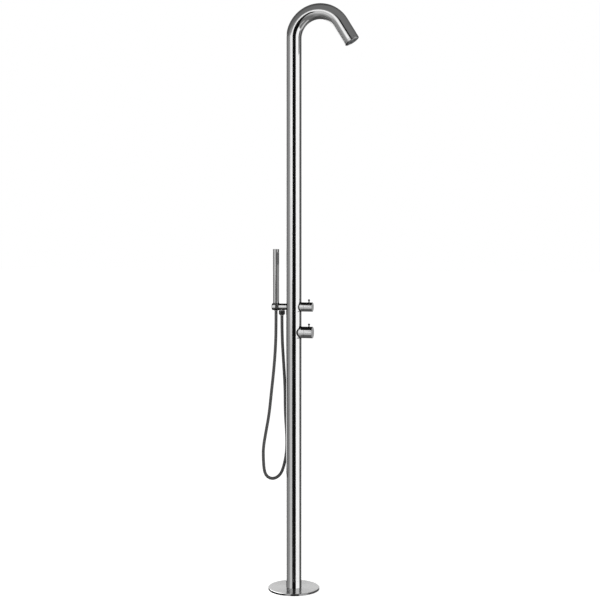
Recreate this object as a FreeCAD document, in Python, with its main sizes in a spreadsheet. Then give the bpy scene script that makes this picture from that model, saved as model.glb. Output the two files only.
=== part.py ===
import FreeCAD, Part
import math
import os
import re

import Sketcher

# An outdoor shower post: a tube bent over at the top into a fixed shower head, with two valve knobs
# at its front and a handset on a hose at its back. Millimetres and degrees. The origin is on the
# post's axis at the floor, +Z is up and +X is the way the arch and the knobs point.

SIZES = [
    # the bent tube
    ("post_radius", 30, "outside radius of the post tube"),
    ("post_wall", 2, "wall of the post tube"),
    ("post_straight", 2146, "height above the floor at which the arch begins"),
    ("arch_radius", 100, "radius of the arch's centreline"),
    ("arch_angle", 148.3, "angle that the arch turns through"),
    ("outlet_straight", 76.3, "straight tube after the arch"),
    # base flange and floor cover
    ("flange_radius", 90, "outside radius of the base flange"),
    ("flange_thickness", 5, "thickness of the base flange"),
    ("collar_height", 30, "top of the collar inside the post's foot, above the floor"),
    ("collar_wall", 3.2, "wall of that collar"),
    ("collar_gap", 0.15, "radial gap between the collar and the post"),
    ("anchor_margin", 15, "distance of an anchor hole's centre from the flange's edge"),
    ("anchor_hole", 4.5, "radius of an anchor hole"),
    ("anchor_sink", 8, "radius of its countersink at the top"),
    ("anchor_count", 4, "number of anchor holes"),
    ("cover_skirt_gap", 8.5, "gap between the flange's edge and the floor cover's skirt"),
    ("cover_lift", 0.3, "gap between the flange and the cover's seal"),
    ("cover_wall", 1.5, "wall of the floor cover"),
    ("cover_gap", 0.4, "radial gap between the cover and the post"),
    ("cover_edge", 1, "chamfer round the cover's top edge"),
    ("seal_thickness", 1.2, "thickness of the cover's seal"),
    ("seal_width", 6, "width of the cover's seal round the post"),
    ("overcut", 1, "how far a cutting tool runs past the face that it opens"),
    ("running_gap", 0.05, "radial gap of a shaft in its hole"),
    ("seat_gap", 0.1, "radial gap between fixed pieces that go together"),
    # water inlets in the post's foot
    ("pipe_thread", 10.4775, "outside radius of a half inch pipe thread"),
    ("thread_chamfer", 0.8, "chamfer at the end of a thread"),
    ("inlet_thread_length", 18, "length of thread on an inlet"),
    ("inlet_shoulder_gap", 0.5, "gap between an inlet's shoulder and the collar"),
    ("inlet_shoulder_height", 6, "height of that shoulder"),
    ("plate_thickness", 4, "thickness of the plate that carries the inlets"),
    ("plate_gap", 0.4, "radial gap between that plate and the post"),
    ("plate_screw_inset", 3.65, "distance of the inlet plate's screws from the collar's bore"),
    ("plate_screw", 1.65, "radius of its screws"),
    ("plate_screw_length", 12, "length of its screws under the head"),
    ("plate_screw_head", 3.3, "radius of its screws' heads"),
    ("plate_screw_head_height", 3.3, "height of its screws' heads"),
    ("plate_screw_socket", 1.65, "radius over corners, and depth, of the heads' sockets"),
    ("lug_radius", 5, "radius of the collar's lugs for these screws"),
    ("lug_height", 12, "height of those lugs"),
    ("locknut_height", 5, "height of an inlet's lock nut"),
    ("locknut_radius", 12, "radius of a lock nut over its corners"),
    ("check_valve_radius", 6.9, "radius of a check valve"),
    ("check_valve_length", 14, "length of a check valve"),
    ("check_valve_inset", 2, "depth of a check valve in its inlet"),
    ("check_valve_eye", 4, "bore radius of a check valve's open end"),
    ("check_valve_eye_depth", 6, "depth of that bore"),
    # hoses inside the post and their nuts
    ("tail_radius", 8, "radius of a threaded tail that a hose nut goes on"),
    ("tail_length", 11, "length of such a tail at a valve or the head"),
    ("tail_bore", 5, "bore of such a tail"),
    ("inner_hose_radius", 6, "radius of the hoses inside the post"),
    ("hose_nut_radius", 11.5, "radius of a hose nut over its corners"),
    ("hose_nut_height", 16, "height of a hose nut"),
    ("hose_nut_lip", 5, "height of its narrow end, round the hose"),
    ("hose_nut_space", 2, "space between a lock nut and the hose nut above it"),
    # valves: what both have alike
    ("mixer_height", 1012, "height of the mixer valve's axis"),
    ("valve_spacing", 99, "distance from the mixer's axis up to the diverter's"),
    ("block_gap", 0.5, "radial gap between a valve block and the post's bore"),
    ("cavity_wall", 1, "wall between a valve's ducts and its cartridge cavity"),
    ("seal_pad", 2, "thickness of the seal under a cartridge"),
    ("seal_pad_gap", 0.3, "radial gap between that seal and the cartridge's shell"),
    ("disc_thickness", 4, "thickness of the fixed ceramic disc"),
    ("moving_disc_thickness", 3.5, "thickness of the turning ceramic disc"),
    ("moving_disc_gap", 0.4, "radial gap between that disc and the shell"),
    ("disc_port_gap", 0.2, "how much smaller a disc's port is than the duct behind it"),
    ("channel_radius", 4, "radius of the channel in the turning disc"),
    ("channel_offset", 2.5, "distance of that channel from the disc's middle"),
    ("channel_depth", 1.75, "depth of that channel"),
    ("carrier_thickness", 5, "thickness of the spindle's foot behind that disc"),
    ("spindle_radius", 4, "radius of a valve spindle"),
    ("spindle_chamfer", 0.5, "chamfer at a spindle's tip"),
    ("spindle_reach", 17, "reach of a spindle past its valve's neck"),
    ("neck_reach", 10, "reach of a valve's neck out of the post"),
    ("nut_thickness", 4.8, "thickness of the nut that holds a cartridge"),
    ("nut_bore", 8, "bore radius of that nut"),
    ("shell_front", 5.2, "thickness of a cartridge shell's front wall"),
    ("collar_lip", 3.6, "reach of a fixed collar past the neck"),
    ("saddle_depth", 16, "length of a collar's blank inside the post's surface, before it is cut"),
    ("seam_chamfer", 0.3, "chamfer on each side of the seam of a collar and its knob"),
    ("collar_web_bore", 9, "bore radius of a collar's front wall"),
    ("knob_gap", 0.4, "gap between a collar and its knob"),
    ("knob_length", 32, "length of a knob"),
    ("knob_edge", 1, "round at a knob's edge"),
    ("lever_setback", 17, "distance of a lever pin from its knob's back"),
    ("lever_radius", 2.4, "radius of a lever pin's stem"),
    ("lever_rise", 6.5, "length of stem between a knob and the pin's tip"),
    ("lever_tip_radius", 4.3, "radius of a lever pin's tip"),
    ("lever_tip_height", 5.4, "height of a lever pin's tip"),
    ("lever_tip_top_round", 2.2, "round at the top of a lever pin's tip"),
    ("lever_tip_foot_round", 1.6, "round at the foot of a lever pin's tip"),
    ("lever_depth", 6, "depth of a lever pin in its knob"),
    ("grub_setback", 7, "distance of a grub screw from its knob's back"),
    ("grub_radius", 2.4, "radius of a grub screw"),
    ("grub_length", 7, "length of a grub screw"),
    ("grub_socket", 1.4, "radius over corners of a grub screw's socket"),
    ("grub_socket_depth", 2.8, "depth of that socket"),
    # valves: what differs
    ("mixer_knob_radius", 22.5, "radius of the mixer's collar and knob"),
    ("mixer_neck", 17.5, "radius of the mixer's neck"),
    ("mixer_cavity", 15.2, "radius of the mixer's cartridge cavity"),
    ("mixer_shell_bore", 12.4, "bore radius of the mixer's cartridge shell"),
    ("mixer_block_half", 32, "half the height of the mixer's block"),
    ("diverter_knob_radius", 18, "radius of the diverter's collar and knob"),
    ("diverter_neck", 13.5, "radius of the diverter's neck"),
    ("diverter_cavity", 11.5, "radius of the diverter's cartridge cavity"),
    ("diverter_shell_bore", 9.4, "bore radius of the diverter's cartridge shell"),
    ("diverter_block_half", 26, "half the height of the diverter's block"),
    ("post_hole_gap", 0.5, "radial gap between a neck and its hole in the post"),
    ("mixer_inlet_port", 8, "sideways distance of the mixer's inlet ports from the axis"),
    ("mixer_inlet_drop", 4, "drop of the mixer's inlet ports below the axis"),
    ("mixer_outlet_rise", 7, "rise of the mixer's outlet port above the axis"),
    ("diverter_port", 6, "height of the diverter's ports over and under the axis"),
    ("hand_port", 5, "sideways distance of its port to the hose outlet from the axis"),
    ("hand_port_past", 3, "reach of that port past the ducts"),
    ("mixer_port_radius", 3, "radius of a mixer port"),
    ("diverter_port_radius", 2.5, "radius of a diverter port"),
    ("duct_radius", 5, "radius of the ducts in the valve blocks"),
    ("duct_overrun", 1, "how far a duct runs past the port that it meets"),
    ("link_radius", 7, "outside radius of the pipe between the valves"),
    ("link_bore", 5, "bore radius of that pipe"),
    ("link_depth", 10, "depth of that pipe in each valve block"),
    ("link_end_gap", 0.2, "gap at each end of that pipe"),
    ("ring_section", 1.1, "radius of the section of that pipe's O-rings"),
    # holder arm, its hose outlet and the handset holder
    ("spigot_reach", 11, "reach of the diverter's rear spigot out of the post"),
    ("spigot_end_gap", 0.5, "gap between that spigot and the end of the arm's thread"),
    ("spigot_bore", 6, "bore radius of that spigot"),
    ("arm_radius", 12.5, "radius of the holder arm"),
    ("arm_past_outlet", 10.5, "reach of the arm past the hose outlet"),
    ("arm_chamfer", 0.4, "chamfer on each side of the seams of the arm and the handset"),
    ("arm_bore_past_outlet", 3, "reach of the arm's bore past the hose outlet"),
    ("outlet_wall", 1, "distance of the hose outlet's bore from the spigot's end"),
    ("handset_past_arm", 13.5, "distance of the handset's axis from the arm's end"),
    ("holder_radius", 14, "radius of the holder head"),
    ("holder_past_handset", 16, "reach of the holder head past the handset's axis"),
    ("holder_round", 5, "round of the holder head's end"),
    ("holder_seam", 0.3, "seam between the arm and the holder head"),
    ("stud_radius", 3.5, "radius of the holder head's stud in the arm"),
    ("stud_length", 4.2, "length of that stud"),
    ("stud_end_gap", 0.3, "gap at that stud's end"),
    ("slot_gap", 0.4, "gap on each side of the hose in the holder's slot"),
    ("slot_past", 10, "how far the slot is cut past the holder's radius"),
    ("slot_angle", -62, "direction of the holder's slot, from +X"),
    ("nipple_length", 13.4, "length of thread under the arm"),
    ("nipple_stub", 7.5, "length of the stub above that thread, in the arm"),
    ("outlet_nut_radius", 12, "radius of the nut at the hose outlet"),
    ("outlet_nut_space", 3.2, "thread that shows between the arm and that nut"),
    ("outlet_nut_lip", 2.6, "height of that nut's narrow end, under the hose's flange"),
    ("outlet_nut_taper", 3.4, "height of that nut's taper"),
    ("outlet_nut_neck", 9.2, "radius of that nut's lower end"),
    ("outlet_nut_chamfer", 0.5, "chamfer of that nut's top"),
    ("washer_thickness", 1.4, "thickness of a hose washer"),
    ("washer_bore", 5, "bore radius of a hose washer"),
    ("washer_inset", 0.3, "radial gap between a hose washer and the nut's thread"),
    ("ferrule_flange", 1.6, "thickness of a ferrule's flange"),
    ("ferrule_radius", 7, "radius of a ferrule's sleeve"),
    ("ferrule_bore", 4.5, "bore radius of a ferrule"),
    ("outlet_ferrule_length", 5, "length of the outlet ferrule's sleeve"),
    # the shower hose
    ("hose_radius", 6, "radius of the shower hose"),
    # cone nut and handset
    ("holder_half", 14.5, "half the height of the cone nut in the holder"),
    ("cone_bottom", 8.5, "radius of the cone nut's lower end"),
    ("cone_gap", 0.15, "radial gap between the cone nut and the holder"),
    ("cone_thread_depth", 8, "depth of the cone nut's thread"),
    ("cone_flange_radius", 9.5, "radius of the washer and flange in the cone nut"),
    ("cone_ferrule_drop", 1, "drop of the ferrule's end below the cone nut"),
    ("handset_gap", 0.2, "gap between the handset and the cone nut's top"),
    ("handset_radius", 12.2, "radius of the handset's stick"),
    ("handset_wall", 1.6, "wall of the handset's stick"),
    ("handset_length", 210, "length of the handset's stick above the cone nut"),
    ("handset_floor", 5, "thickness of the stick's closed lower end"),
    ("handset_cap", 2.6, "thickness of the handset's end cap"),
    ("handset_cap_plug", 6, "depth of the end cap's plug"),
    ("handset_edge", 0.8, "round of the end cap's edge"),
    ("handset_turn", -27, "direction of the handset's spray face, from +X"),
    ("spray_window_top", 12, "distance of the spray window's top from the stick's end"),
    ("spray_window_height", 50, "height of the spray window"),
    ("spray_window_width", 13, "width of the spray window"),
    ("spray_plate_gap", 0.15, "gap round the handset's spray plate"),
    ("handset_nozzle", 0.9, "radius of a handset nozzle"),
    ("handset_nozzle_rise", 0.5, "how far a handset nozzle stands out"),
    ("handset_nozzle_pitch", 4.2, "distance between handset nozzles"),
    ("handset_nozzle_rows", 10, "number of rows of handset nozzles"),
    ("handset_mat", 1.5, "thickness of the handset's nozzle mat"),
    ("handset_mat_lap", 1, "lap of that mat past the spray window"),
    # shower head in the arch's end
    ("head_rim", 9, "length of the head's visible rim"),
    ("head_edge", 0.9, "chamfer of that rim"),
    ("head_seam", 0.4, "chamfer at the seam between the tube and the head"),
    ("head_plug", 16, "depth of the head in the tube"),
    ("head_back", 4, "thickness of the head's back wall"),
    ("head_plug_gap", 0.15, "radial gap between the head and the tube"),
    ("head_wall", 4.85, "wall of the head round its water chamber"),
    ("head_rim_wall", 3.4, "wall of the rim round the spray plate"),
    ("head_recess_depth", 4.5, "depth of that recess"),
    ("head_ring_groove", 1.9, "depth of the groove for the head's O-ring"),
    ("plate_inset", 0.8, "how far the spray plate's edge lies behind the head's rim"),
    ("head_dome", 1.4, "rise of the spray plate's middle over its edge"),
    ("nozzle_radius", 1.2, "radius of a head nozzle"),
    ("nozzle_rise", 1.1, "how far a head nozzle stands out"),
    ("nozzle_edge", 3.4, "distance of the outer nozzles from the nozzle mat's seat"),
    ("nozzle_rings", 3, "number of rings of head nozzles"),
    ("mat_thickness", 1.8, "thickness of the head's nozzle mat"),
    ("mat_inset", 1, "radial gap between that mat's seat and the head's chamber"),
]

# Sizes that follow from the ones above
WORKED_OUT = {
    "collar_bore": "post_radius - post_wall - collar_gap - collar_wall",
    "cover_radius": "flange_radius + cover_skirt_gap + cover_wall",
    "cover_height": "flange_thickness + cover_lift + seal_thickness + cover_wall",
    "seal_radius": "post_radius + seal_width",
    "anchor_circle": "flange_radius - anchor_margin",
    "inlet_offset": "collar_bore / 2",
    "inlet_shoulder": "inlet_offset - inlet_shoulder_gap",
    "inlet_top": "plate_thickness + locknut_height + hose_nut_space + tail_length",
    "plate_screw_offset": "collar_bore - plate_screw_inset",
    "diverter_height": "mixer_height + valve_spacing",
    "cavity_start": "duct_radius + cavity_wall",
    "hand_port_end": "duct_radius + hand_port_past",
    "neck_end": "post_radius + neck_reach",
    "spindle_end": "neck_end + spindle_reach",
    "collar_start": "post_radius - saddle_depth",
    "collar_end": "neck_end + collar_lip",
    "knob_start": "collar_end + knob_gap",
    "knob_end": "knob_start + knob_length",
    "lever_position": "knob_start + lever_setback",
    "grub_position": "knob_start + grub_setback",
    "spigot_end": "post_radius + spigot_reach",
    "hose_outlet_reach": "spigot_end + spigot_bore + outlet_wall",
    "arm_bore_end": "hose_outlet_reach + arm_bore_past_outlet",
    "arm_end": "hose_outlet_reach + arm_past_outlet",
    "handset_reach": "arm_end + handset_past_arm",
    "holder_end": "handset_reach + holder_past_handset",
    "slot_width": "2 * (hose_radius + slot_gap)",
    "slot_reach": "holder_radius + slot_past",
    "outlet_nut_start": "arm_radius + seat_gap + outlet_nut_space",
    "cone_top": "handset_radius",
    "handset_foot": "holder_half + handset_gap",
    "handset_top": "handset_foot + handset_length",
    "head_recess": "post_radius - head_rim_wall",
    "head_chamber": "post_radius - post_wall - head_plug_gap - head_wall",
    "nozzle_ring_step": "(head_chamber - mat_inset - nozzle_edge) / nozzle_rings",
}

# The hose hangs from the outlet, passes behind the post's edge, turns and rises to the handset's cone nut.
HOSE_ROUTE = [
    (-48, 0, 1077),
    (-48, 0, 996),
    (-44, 9, 893),
    (-40, 17, 794),
    (-41, 22, 694),
    (-36, 25, 612),
    (-35, 24, 553),
    (-39, 19, 509),
    (-49, 8, 466),
    (-62, -5, 448),
    (-79, -22, 442),
    (-96, -38, 450),
    (-107, -49, 470),
    (-112, -53, 515),
    (-111, -53, 565),
    (-103, -47, 624),
    (-93, -39, 694),
    (-86, -30, 774),
    (-80, -20, 860),
    (-74, -10, 943),
    (-72, 0, 1019),
    (-72, 0, 1095.5),
]
ARC_SHARE = 0.45  # an arc's tangent takes this share of the shorter run beside it

doc = FreeCAD.newDocument("shower_post")
sheet = doc.addObject("Spreadsheet::Sheet", "size")
for row, (alias, number, note) in enumerate(SIZES, start=1):
    sheet.set(f"A{row}", note)
    sheet.set(f"B{row}", str(number))
    sheet.setAlias(f"B{row}", alias)
doc.recompute()

NAMES = {alias for alias, number, note in SIZES}
UP = FreeCAD.Vector(0, 0, 1)
parts = []


def formula(text):
    """The text of an expression: worked-out sizes are spelled out, and the sheet's names refer to it."""
    return re.sub(r"[a-z_]+", lambda word: spelled_out(word[0]), text)


def spelled_out(name):
    if name in WORKED_OUT:
        return "(" + formula(WORKED_OUT[name]) + ")"
    return "size." + name if name in NAMES else name


def value(text):
    """What an expression comes to now."""
    return float(sheet.evalExpression(formula(text)))


def count(alias):
    """A whole number from the sheet."""
    return int(round(value(alias)))


def bind(thing, **properties):
    """Binds properties of an object to expressions. A double underscore stands for a dot."""
    for name, text in properties.items():
        thing.setExpression(name.replace("__", "."), formula(text))


def bind_point(thing, path, point):
    """Binds the three coordinates of a placement's base to expressions."""
    for axis, text in zip("xyz", point):
        thing.setExpression(f"{path}.Base.{axis}", formula(text))


def keep(thing, name):
    """Makes an object one of the sub-parts that are written out."""
    thing.Label = name
    parts.append(thing)
    return thing


def facing(towards):
    """A placement that points a solid's own Z axis towards a direction."""
    return FreeCAD.Placement(FreeCAD.Vector(), FreeCAD.Rotation(UP, FreeCAD.Vector(*towards)))


def place(thing, point, axis=UP, angle="0"):
    """Puts a finished sub-part at a point of the sheet, turned about an axis."""
    thing.Placement = FreeCAD.Placement(FreeCAD.Vector(), FreeCAD.Rotation(axis, value(angle)))
    bind_point(thing, "Placement", point)
    if angle != "0":
        bind(thing, Placement__Rotation__Angle=angle)
    return thing


# Features of a PartDesign body


def origin_plane(body, role):
    return next(feature for feature in body.Origin.OriginFeatures if feature.Role == role)


def new_sketch(body, name, role):
    sketch = body.newObject("Sketcher::SketchObject", name)
    sketch.AttachmentSupport = [(origin_plane(body, role), "")]
    sketch.MapMode = "FlatFace"
    return sketch


def bind_vertex(sketch, index, end, across, along):
    """Holds one end of a sketch line at two expressions, measured from the sketch's origin."""
    for kind, text in (("DistanceX", across), ("DistanceY", along)):
        row = sketch.addConstraint(Sketcher.Constraint(kind, -1, 1, index, end, value(text)))
        sketch.setExpression(f"Constraints[{row}]", formula(text))


def polygon(sketch, corners):
    """A closed outline through corners that are pairs of expressions."""
    points = [FreeCAD.Vector(value(across), value(along), 0) for across, along in corners]
    last = len(points) - 1
    for index, start in enumerate(points):
        end = points[0 if index == last else index + 1]
        sketch.addGeometry(Part.LineSegment(start, end), False)
    for index in range(len(points)):
        following = 0 if index == last else index + 1
        sketch.addConstraint(Sketcher.Constraint("Coincident", index, 2, following, 1))
    for index, (across, along) in enumerate(corners):
        bind_vertex(sketch, index, 1, across, along)


def turned(name, outline, axis="Z"):
    """A turned body: its outline is a list of (radius, distance along the axis)."""
    body = doc.addObject("PartDesign::Body", name)
    sketch = new_sketch(body, name + "_outline", "XZ_Plane")
    lying = axis == "X"
    polygon(sketch, [(along, radius) if lying else (radius, along) for radius, along in outline])
    feature = body.newObject("PartDesign::Revolution", name + "_turned")
    feature.Profile = sketch
    feature.ReferenceAxis = (sketch, ["H_Axis" if lying else "V_Axis"])
    feature.Angle = 360
    body.Tip = feature
    sketch.Visibility = False
    return body


def shaped(body, kind, name, point, towards=UP, **properties):
    """Adds or cuts a primitive whose own Z axis points towards a direction, from a point."""
    feature = body.newObject("PartDesign::" + kind, name)
    feature.AttachmentSupport = [(origin_plane(body, "XY_Plane"), "")]
    feature.MapMode = "FlatFace"
    feature.AttachmentOffset = facing(towards)
    bind(feature, **properties)
    bind_point(feature, "AttachmentOffset", point)
    body.Tip = feature
    return feature


def drill(body, name, radius, length, point, towards):
    """A round hole that starts at a point and runs towards a direction."""
    return shaped(body, "SubtractiveCylinder", name, point, towards, Radius=radius, Height=length)


def boss(body, name, radius, length, point, towards):
    """A round boss that starts at a point and runs towards a direction."""
    return shaped(body, "AdditiveCylinder", name, point, towards, Radius=radius, Height=length)


def saddle(body, name):
    """Cuts a body that lies across the post to the post's own curve."""
    return drill(body, name, "post_radius + seat_gap", "4 * post_radius", ("0", "0", "-2 * post_radius"), UP)


def ring_edges(body, radius, along, axis="Z"):
    """Names of the round edges of a body that have a radius and lie at a distance along its axis."""
    doc.recompute()
    found = []
    for number, edge in enumerate(body.Tip.Shape.Edges, start=1):
        curve = edge.Curve
        if not isinstance(curve, Part.Circle):
            continue
        centre = getattr(curve.Center, axis.lower())
        if abs(curve.Radius - value(radius)) < 1e-4 and abs(centre - value(along)) < 1e-4:
            found.append(f"Edge{number}")
    return found


def round_off(body, name, size, radius, along, axis="Z"):
    """Rounds a turned body's edge."""
    edges = ring_edges(body, radius, along, axis)
    base = body.Tip
    feature = body.newObject("PartDesign::Fillet", name)
    feature.Base = (base, edges)
    bind(feature, Radius=size)
    body.Tip = feature


# Simple solids and groups of them


def cylinder(name, radius, length, point, towards=UP):
    solid = doc.addObject("Part::Cylinder", name)
    solid.Placement = facing(towards)
    bind(solid, Radius=radius, Height=length)
    bind_point(solid, "Placement", point)
    return solid


def hexagon(name, radius, length, point):
    solid = doc.addObject("Part::Prism", name)
    solid.Polygon = 6
    bind(solid, Circumradius=radius, Height=length)
    bind_point(solid, "Placement", point)
    return solid


def cut(name, base, tools):
    """A solid with one or more tools taken out of it."""
    if len(tools) > 1:
        joined = doc.addObject("Part::MultiFuse", name + "_tools")
        joined.Shapes = tools
    else:
        joined = tools[0]
    solid = doc.addObject("Part::Cut", name)
    solid.Base = base
    solid.Tool = joined
    return solid


def group(name, members):
    """Identical pieces that share one node."""
    solids = doc.addObject("Part::Compound", name)
    solids.Links = members
    return keep(solids, name)


# The post and its base


def held_size(sketch, kind, picks, text):
    """A sketch dimension that is bound to an expression."""
    row = sketch.addConstraint(Sketcher.Constraint(kind, *picks, value(text)))
    sketch.setExpression(f"Constraints[{row}]", formula(text))


def centreline(body, name, start, tail):
    """A sketch of the post's centreline, from a height up, over the arch and down a last straight."""
    sketch = new_sketch(body, name, "XZ_Plane")
    rise = value(f"post_straight - ({start})")
    radius = value("arch_radius")
    turn = math.radians(value("arch_angle"))
    foot = FreeCAD.Vector()
    spring = FreeCAD.Vector(0, rise, 0)
    bend_end = spring + FreeCAD.Vector(1 - math.cos(turn), math.sin(turn), 0) * radius
    tube_end = bend_end + FreeCAD.Vector(math.sin(turn), math.cos(turn), 0) * value(tail)
    circle = Part.Circle(FreeCAD.Vector(radius, rise, 0), UP, radius)
    sketch.addGeometry(Part.LineSegment(foot, spring), False)
    sketch.addGeometry(Part.ArcOfCircle(circle, math.pi - turn, math.pi), False)
    sketch.addGeometry(Part.LineSegment(bend_end, tube_end), False)
    sketch.addConstraint(Sketcher.Constraint("Coincident", 0, 1, -1, 1))
    sketch.addConstraint(Sketcher.Constraint("Vertical", 0))
    sketch.addConstraint(Sketcher.Constraint("Tangent", 0, 2, 1, 2))
    sketch.addConstraint(Sketcher.Constraint("Tangent", 1, 1, 2, 1))
    held_size(sketch, "DistanceY", (0, 1, 0, 2), f"post_straight - ({start})")
    held_size(sketch, "Radius", (1,), "arch_radius")
    held_size(sketch, "DistanceX", (-1, 1, 1, 1), "arch_radius * (1 - cos(arch_angle))")
    held_size(sketch, "Distance", (2,), tail)
    return sketch


def bent_pipe(name, radii, start, tail):
    """A body swept along the post's centreline, with a round outline of one or two radii."""
    body = doc.addObject("PartDesign::Body", name)
    spine = centreline(body, name + "_line", start, tail)
    section = new_sketch(body, name + "_section", "XY_Plane")
    for index, radius in enumerate(radii):
        section.addGeometry(Part.Circle(FreeCAD.Vector(), UP, value(radius)), False)
        section.addConstraint(Sketcher.Constraint("Coincident", index, 3, -1, 1))
        held_size(section, "Radius", (index,), radius)
    pipe = body.newObject("PartDesign::AdditivePipe", name + "_pipe")
    pipe.Profile = section
    pipe.Spine = spine
    body.Tip = pipe
    return body


def make_post():
    radii = ("post_radius", "post_radius - post_wall")
    post = bent_pipe("post_tube", radii, "flange_thickness", "outlet_straight")
    for valve in ("mixer", "diverter"):
        height = f"{valve}_height - flange_thickness"
        radius = f"{valve}_neck + post_hole_gap"
        drill(post, valve + "_hole", radius, "post_radius + overcut", ("0", "0", height), (1, 0, 0))
    rear = ("0", "0", "diverter_height - flange_thickness")
    drill(post, "spigot_hole", "pipe_thread + post_hole_gap", "post_radius + overcut", rear, (-1, 0, 0))
    keep(place(post, ("0", "0", "flange_thickness")), "post_tube")


def make_base():
    collar = "post_radius - post_wall - collar_gap"
    flange = turned(
        "base_flange",
        [
            ("collar_bore", "0"),
            ("flange_radius", "0"),
            ("flange_radius", "flange_thickness"),
            (collar, "flange_thickness"),
            (collar, "collar_height"),
            ("collar_bore", "collar_height"),
        ],
    )
    for side in (-1, 1):
        lug = (f"{side} * plate_screw_offset", "0", "collar_height - lug_height")
        tap = (f"{side} * plate_screw_offset", "0", "collar_height")
        boss(flange, f"lug_{side + 1}", "lug_radius", "lug_height", lug, UP)
        drill(flange, f"tap_{side + 1}", "plate_screw + running_gap", "lug_height", tap, -UP)
    for number in range(count("anchor_count")):
        turn = f"({number} + 0.5) * 360 / anchor_count"
        spot = (f"anchor_circle * cos({turn})", f"anchor_circle * sin({turn})")
        drill(flange, f"anchor_hole_{number}", "anchor_hole", "flange_thickness", (*spot, "0"), UP)
        depth = "anchor_sink - anchor_hole"
        shaped(
            flange,
            "SubtractiveCone",
            f"anchor_sink_{number}",
            (*spot, f"flange_thickness - ({depth})"),
            Radius1="anchor_hole",
            Radius2="anchor_sink",
            Height=depth,
        )
    keep(flange, "base_flange")

    inside = "cover_radius - cover_wall"
    hole = "post_radius + cover_gap"
    cover = turned(
        "floor_cover",
        [
            (hole, "cover_height - cover_wall"),
            (inside, "cover_height - cover_wall"),
            (inside, "0"),
            ("cover_radius", "0"),
            ("cover_radius", "cover_height - cover_edge"),
            ("cover_radius - cover_edge", "cover_height"),
            (hole, "cover_height"),
        ],
    )
    keep(cover, "floor_cover")
    lip = "post_radius + running_gap"
    seal = turned(
        "cover_seal",
        [(lip, "0"), ("seal_radius", "0"), ("seal_radius", "seal_thickness"), (lip, "seal_thickness")],
    )
    keep(place(seal, ("0", "0", "cover_height - cover_wall - seal_thickness")), "cover_seal")


# Water inlets and the hoses inside the post

INLETS = {"cold": "-inlet_offset", "hot": "inlet_offset"}


def make_inlets():
    plate_radius = "post_radius - post_wall - plate_gap"
    plate = turned(
        "inlet_plate",
        [("0", "0"), (plate_radius, "0"), (plate_radius, "plate_thickness"), ("0", "plate_thickness")],
    )
    for side, across in INLETS.items():
        drill(plate, side + "_hole", "tail_radius + seat_gap", "plate_thickness", ("0", across, "0"), UP)
    for side in (-1, 1):
        spot = (f"{side} * plate_screw_offset", "0", "0")
        drill(plate, f"screw_hole_{side + 1}", "plate_screw + seat_gap", "plate_thickness", spot, UP)
    keep(place(plate, ("0", "0", "collar_height")), "inlet_plate")

    screws = []
    for side in (-1, 1):
        foot = (f"{side} * plate_screw_offset", "0", "collar_height + plate_thickness")
        shank = cylinder(f"screw_{side + 1}_shank", "plate_screw", "plate_screw_length", foot, -UP)
        head = cylinder(f"screw_{side + 1}_head", "plate_screw_head", "plate_screw_head_height", foot)
        rise = "plate_screw_head_height - plate_screw_socket"
        socket_foot = (foot[0], foot[1], f"{foot[2]} + {rise}")
        socket = hexagon(f"screw_{side + 1}_socket", "plate_screw_socket", "plate_screw_socket", socket_foot)
        whole = doc.addObject("Part::MultiFuse", f"screw_{side + 1}_whole")
        whole.Shapes = [shank, head]
        screws.append(cut(f"plate_screw_{side + 1}", whole, [socket]))
    group("plate_screws", screws)

    low = "-inlet_shoulder_height - inlet_thread_length"
    valve_foot = f"{low} + check_valve_inset"
    seat = f"{valve_foot} + check_valve_length"
    bore = "check_valve_radius + seat_gap"
    for side, across in INLETS.items():
        inlet = turned(
            side + "_inlet",
            [
                (bore, low),
                ("pipe_thread - thread_chamfer", low),
                ("pipe_thread", f"{low} + thread_chamfer"),
                ("pipe_thread", "-inlet_shoulder_height"),
                ("inlet_shoulder", "-inlet_shoulder_height"),
                ("inlet_shoulder", "0"),
                ("tail_radius", "0"),
                ("tail_radius", "inlet_top"),
                ("tail_bore", "inlet_top"),
                ("tail_bore", seat),
                (bore, seat),
            ],
        )
        keep(place(inlet, ("0", across, "collar_height")), side + "_inlet")

    nuts = []
    valves = []
    for side, across in INLETS.items():
        spot = ("0", across, "collar_height + plate_thickness")
        blank = hexagon(side + "_locknut_blank", "locknut_radius", "locknut_height", spot)
        thread = cylinder(side + "_locknut_thread", "tail_radius + seat_gap", "locknut_height", spot)
        nuts.append(cut(side + "_locknut", blank, [thread]))
        foot = ("0", across, f"collar_height + {valve_foot}")
        case = cylinder(side + "_valve_case", "check_valve_radius", "check_valve_length", foot)
        eye = cylinder(side + "_valve_eye", "check_valve_eye", "check_valve_eye_depth", foot)
        valves.append(cut(side + "_check_valve", case, [eye]))
    group("inlet_locknuts", nuts)
    group("check_valves", valves)


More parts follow.
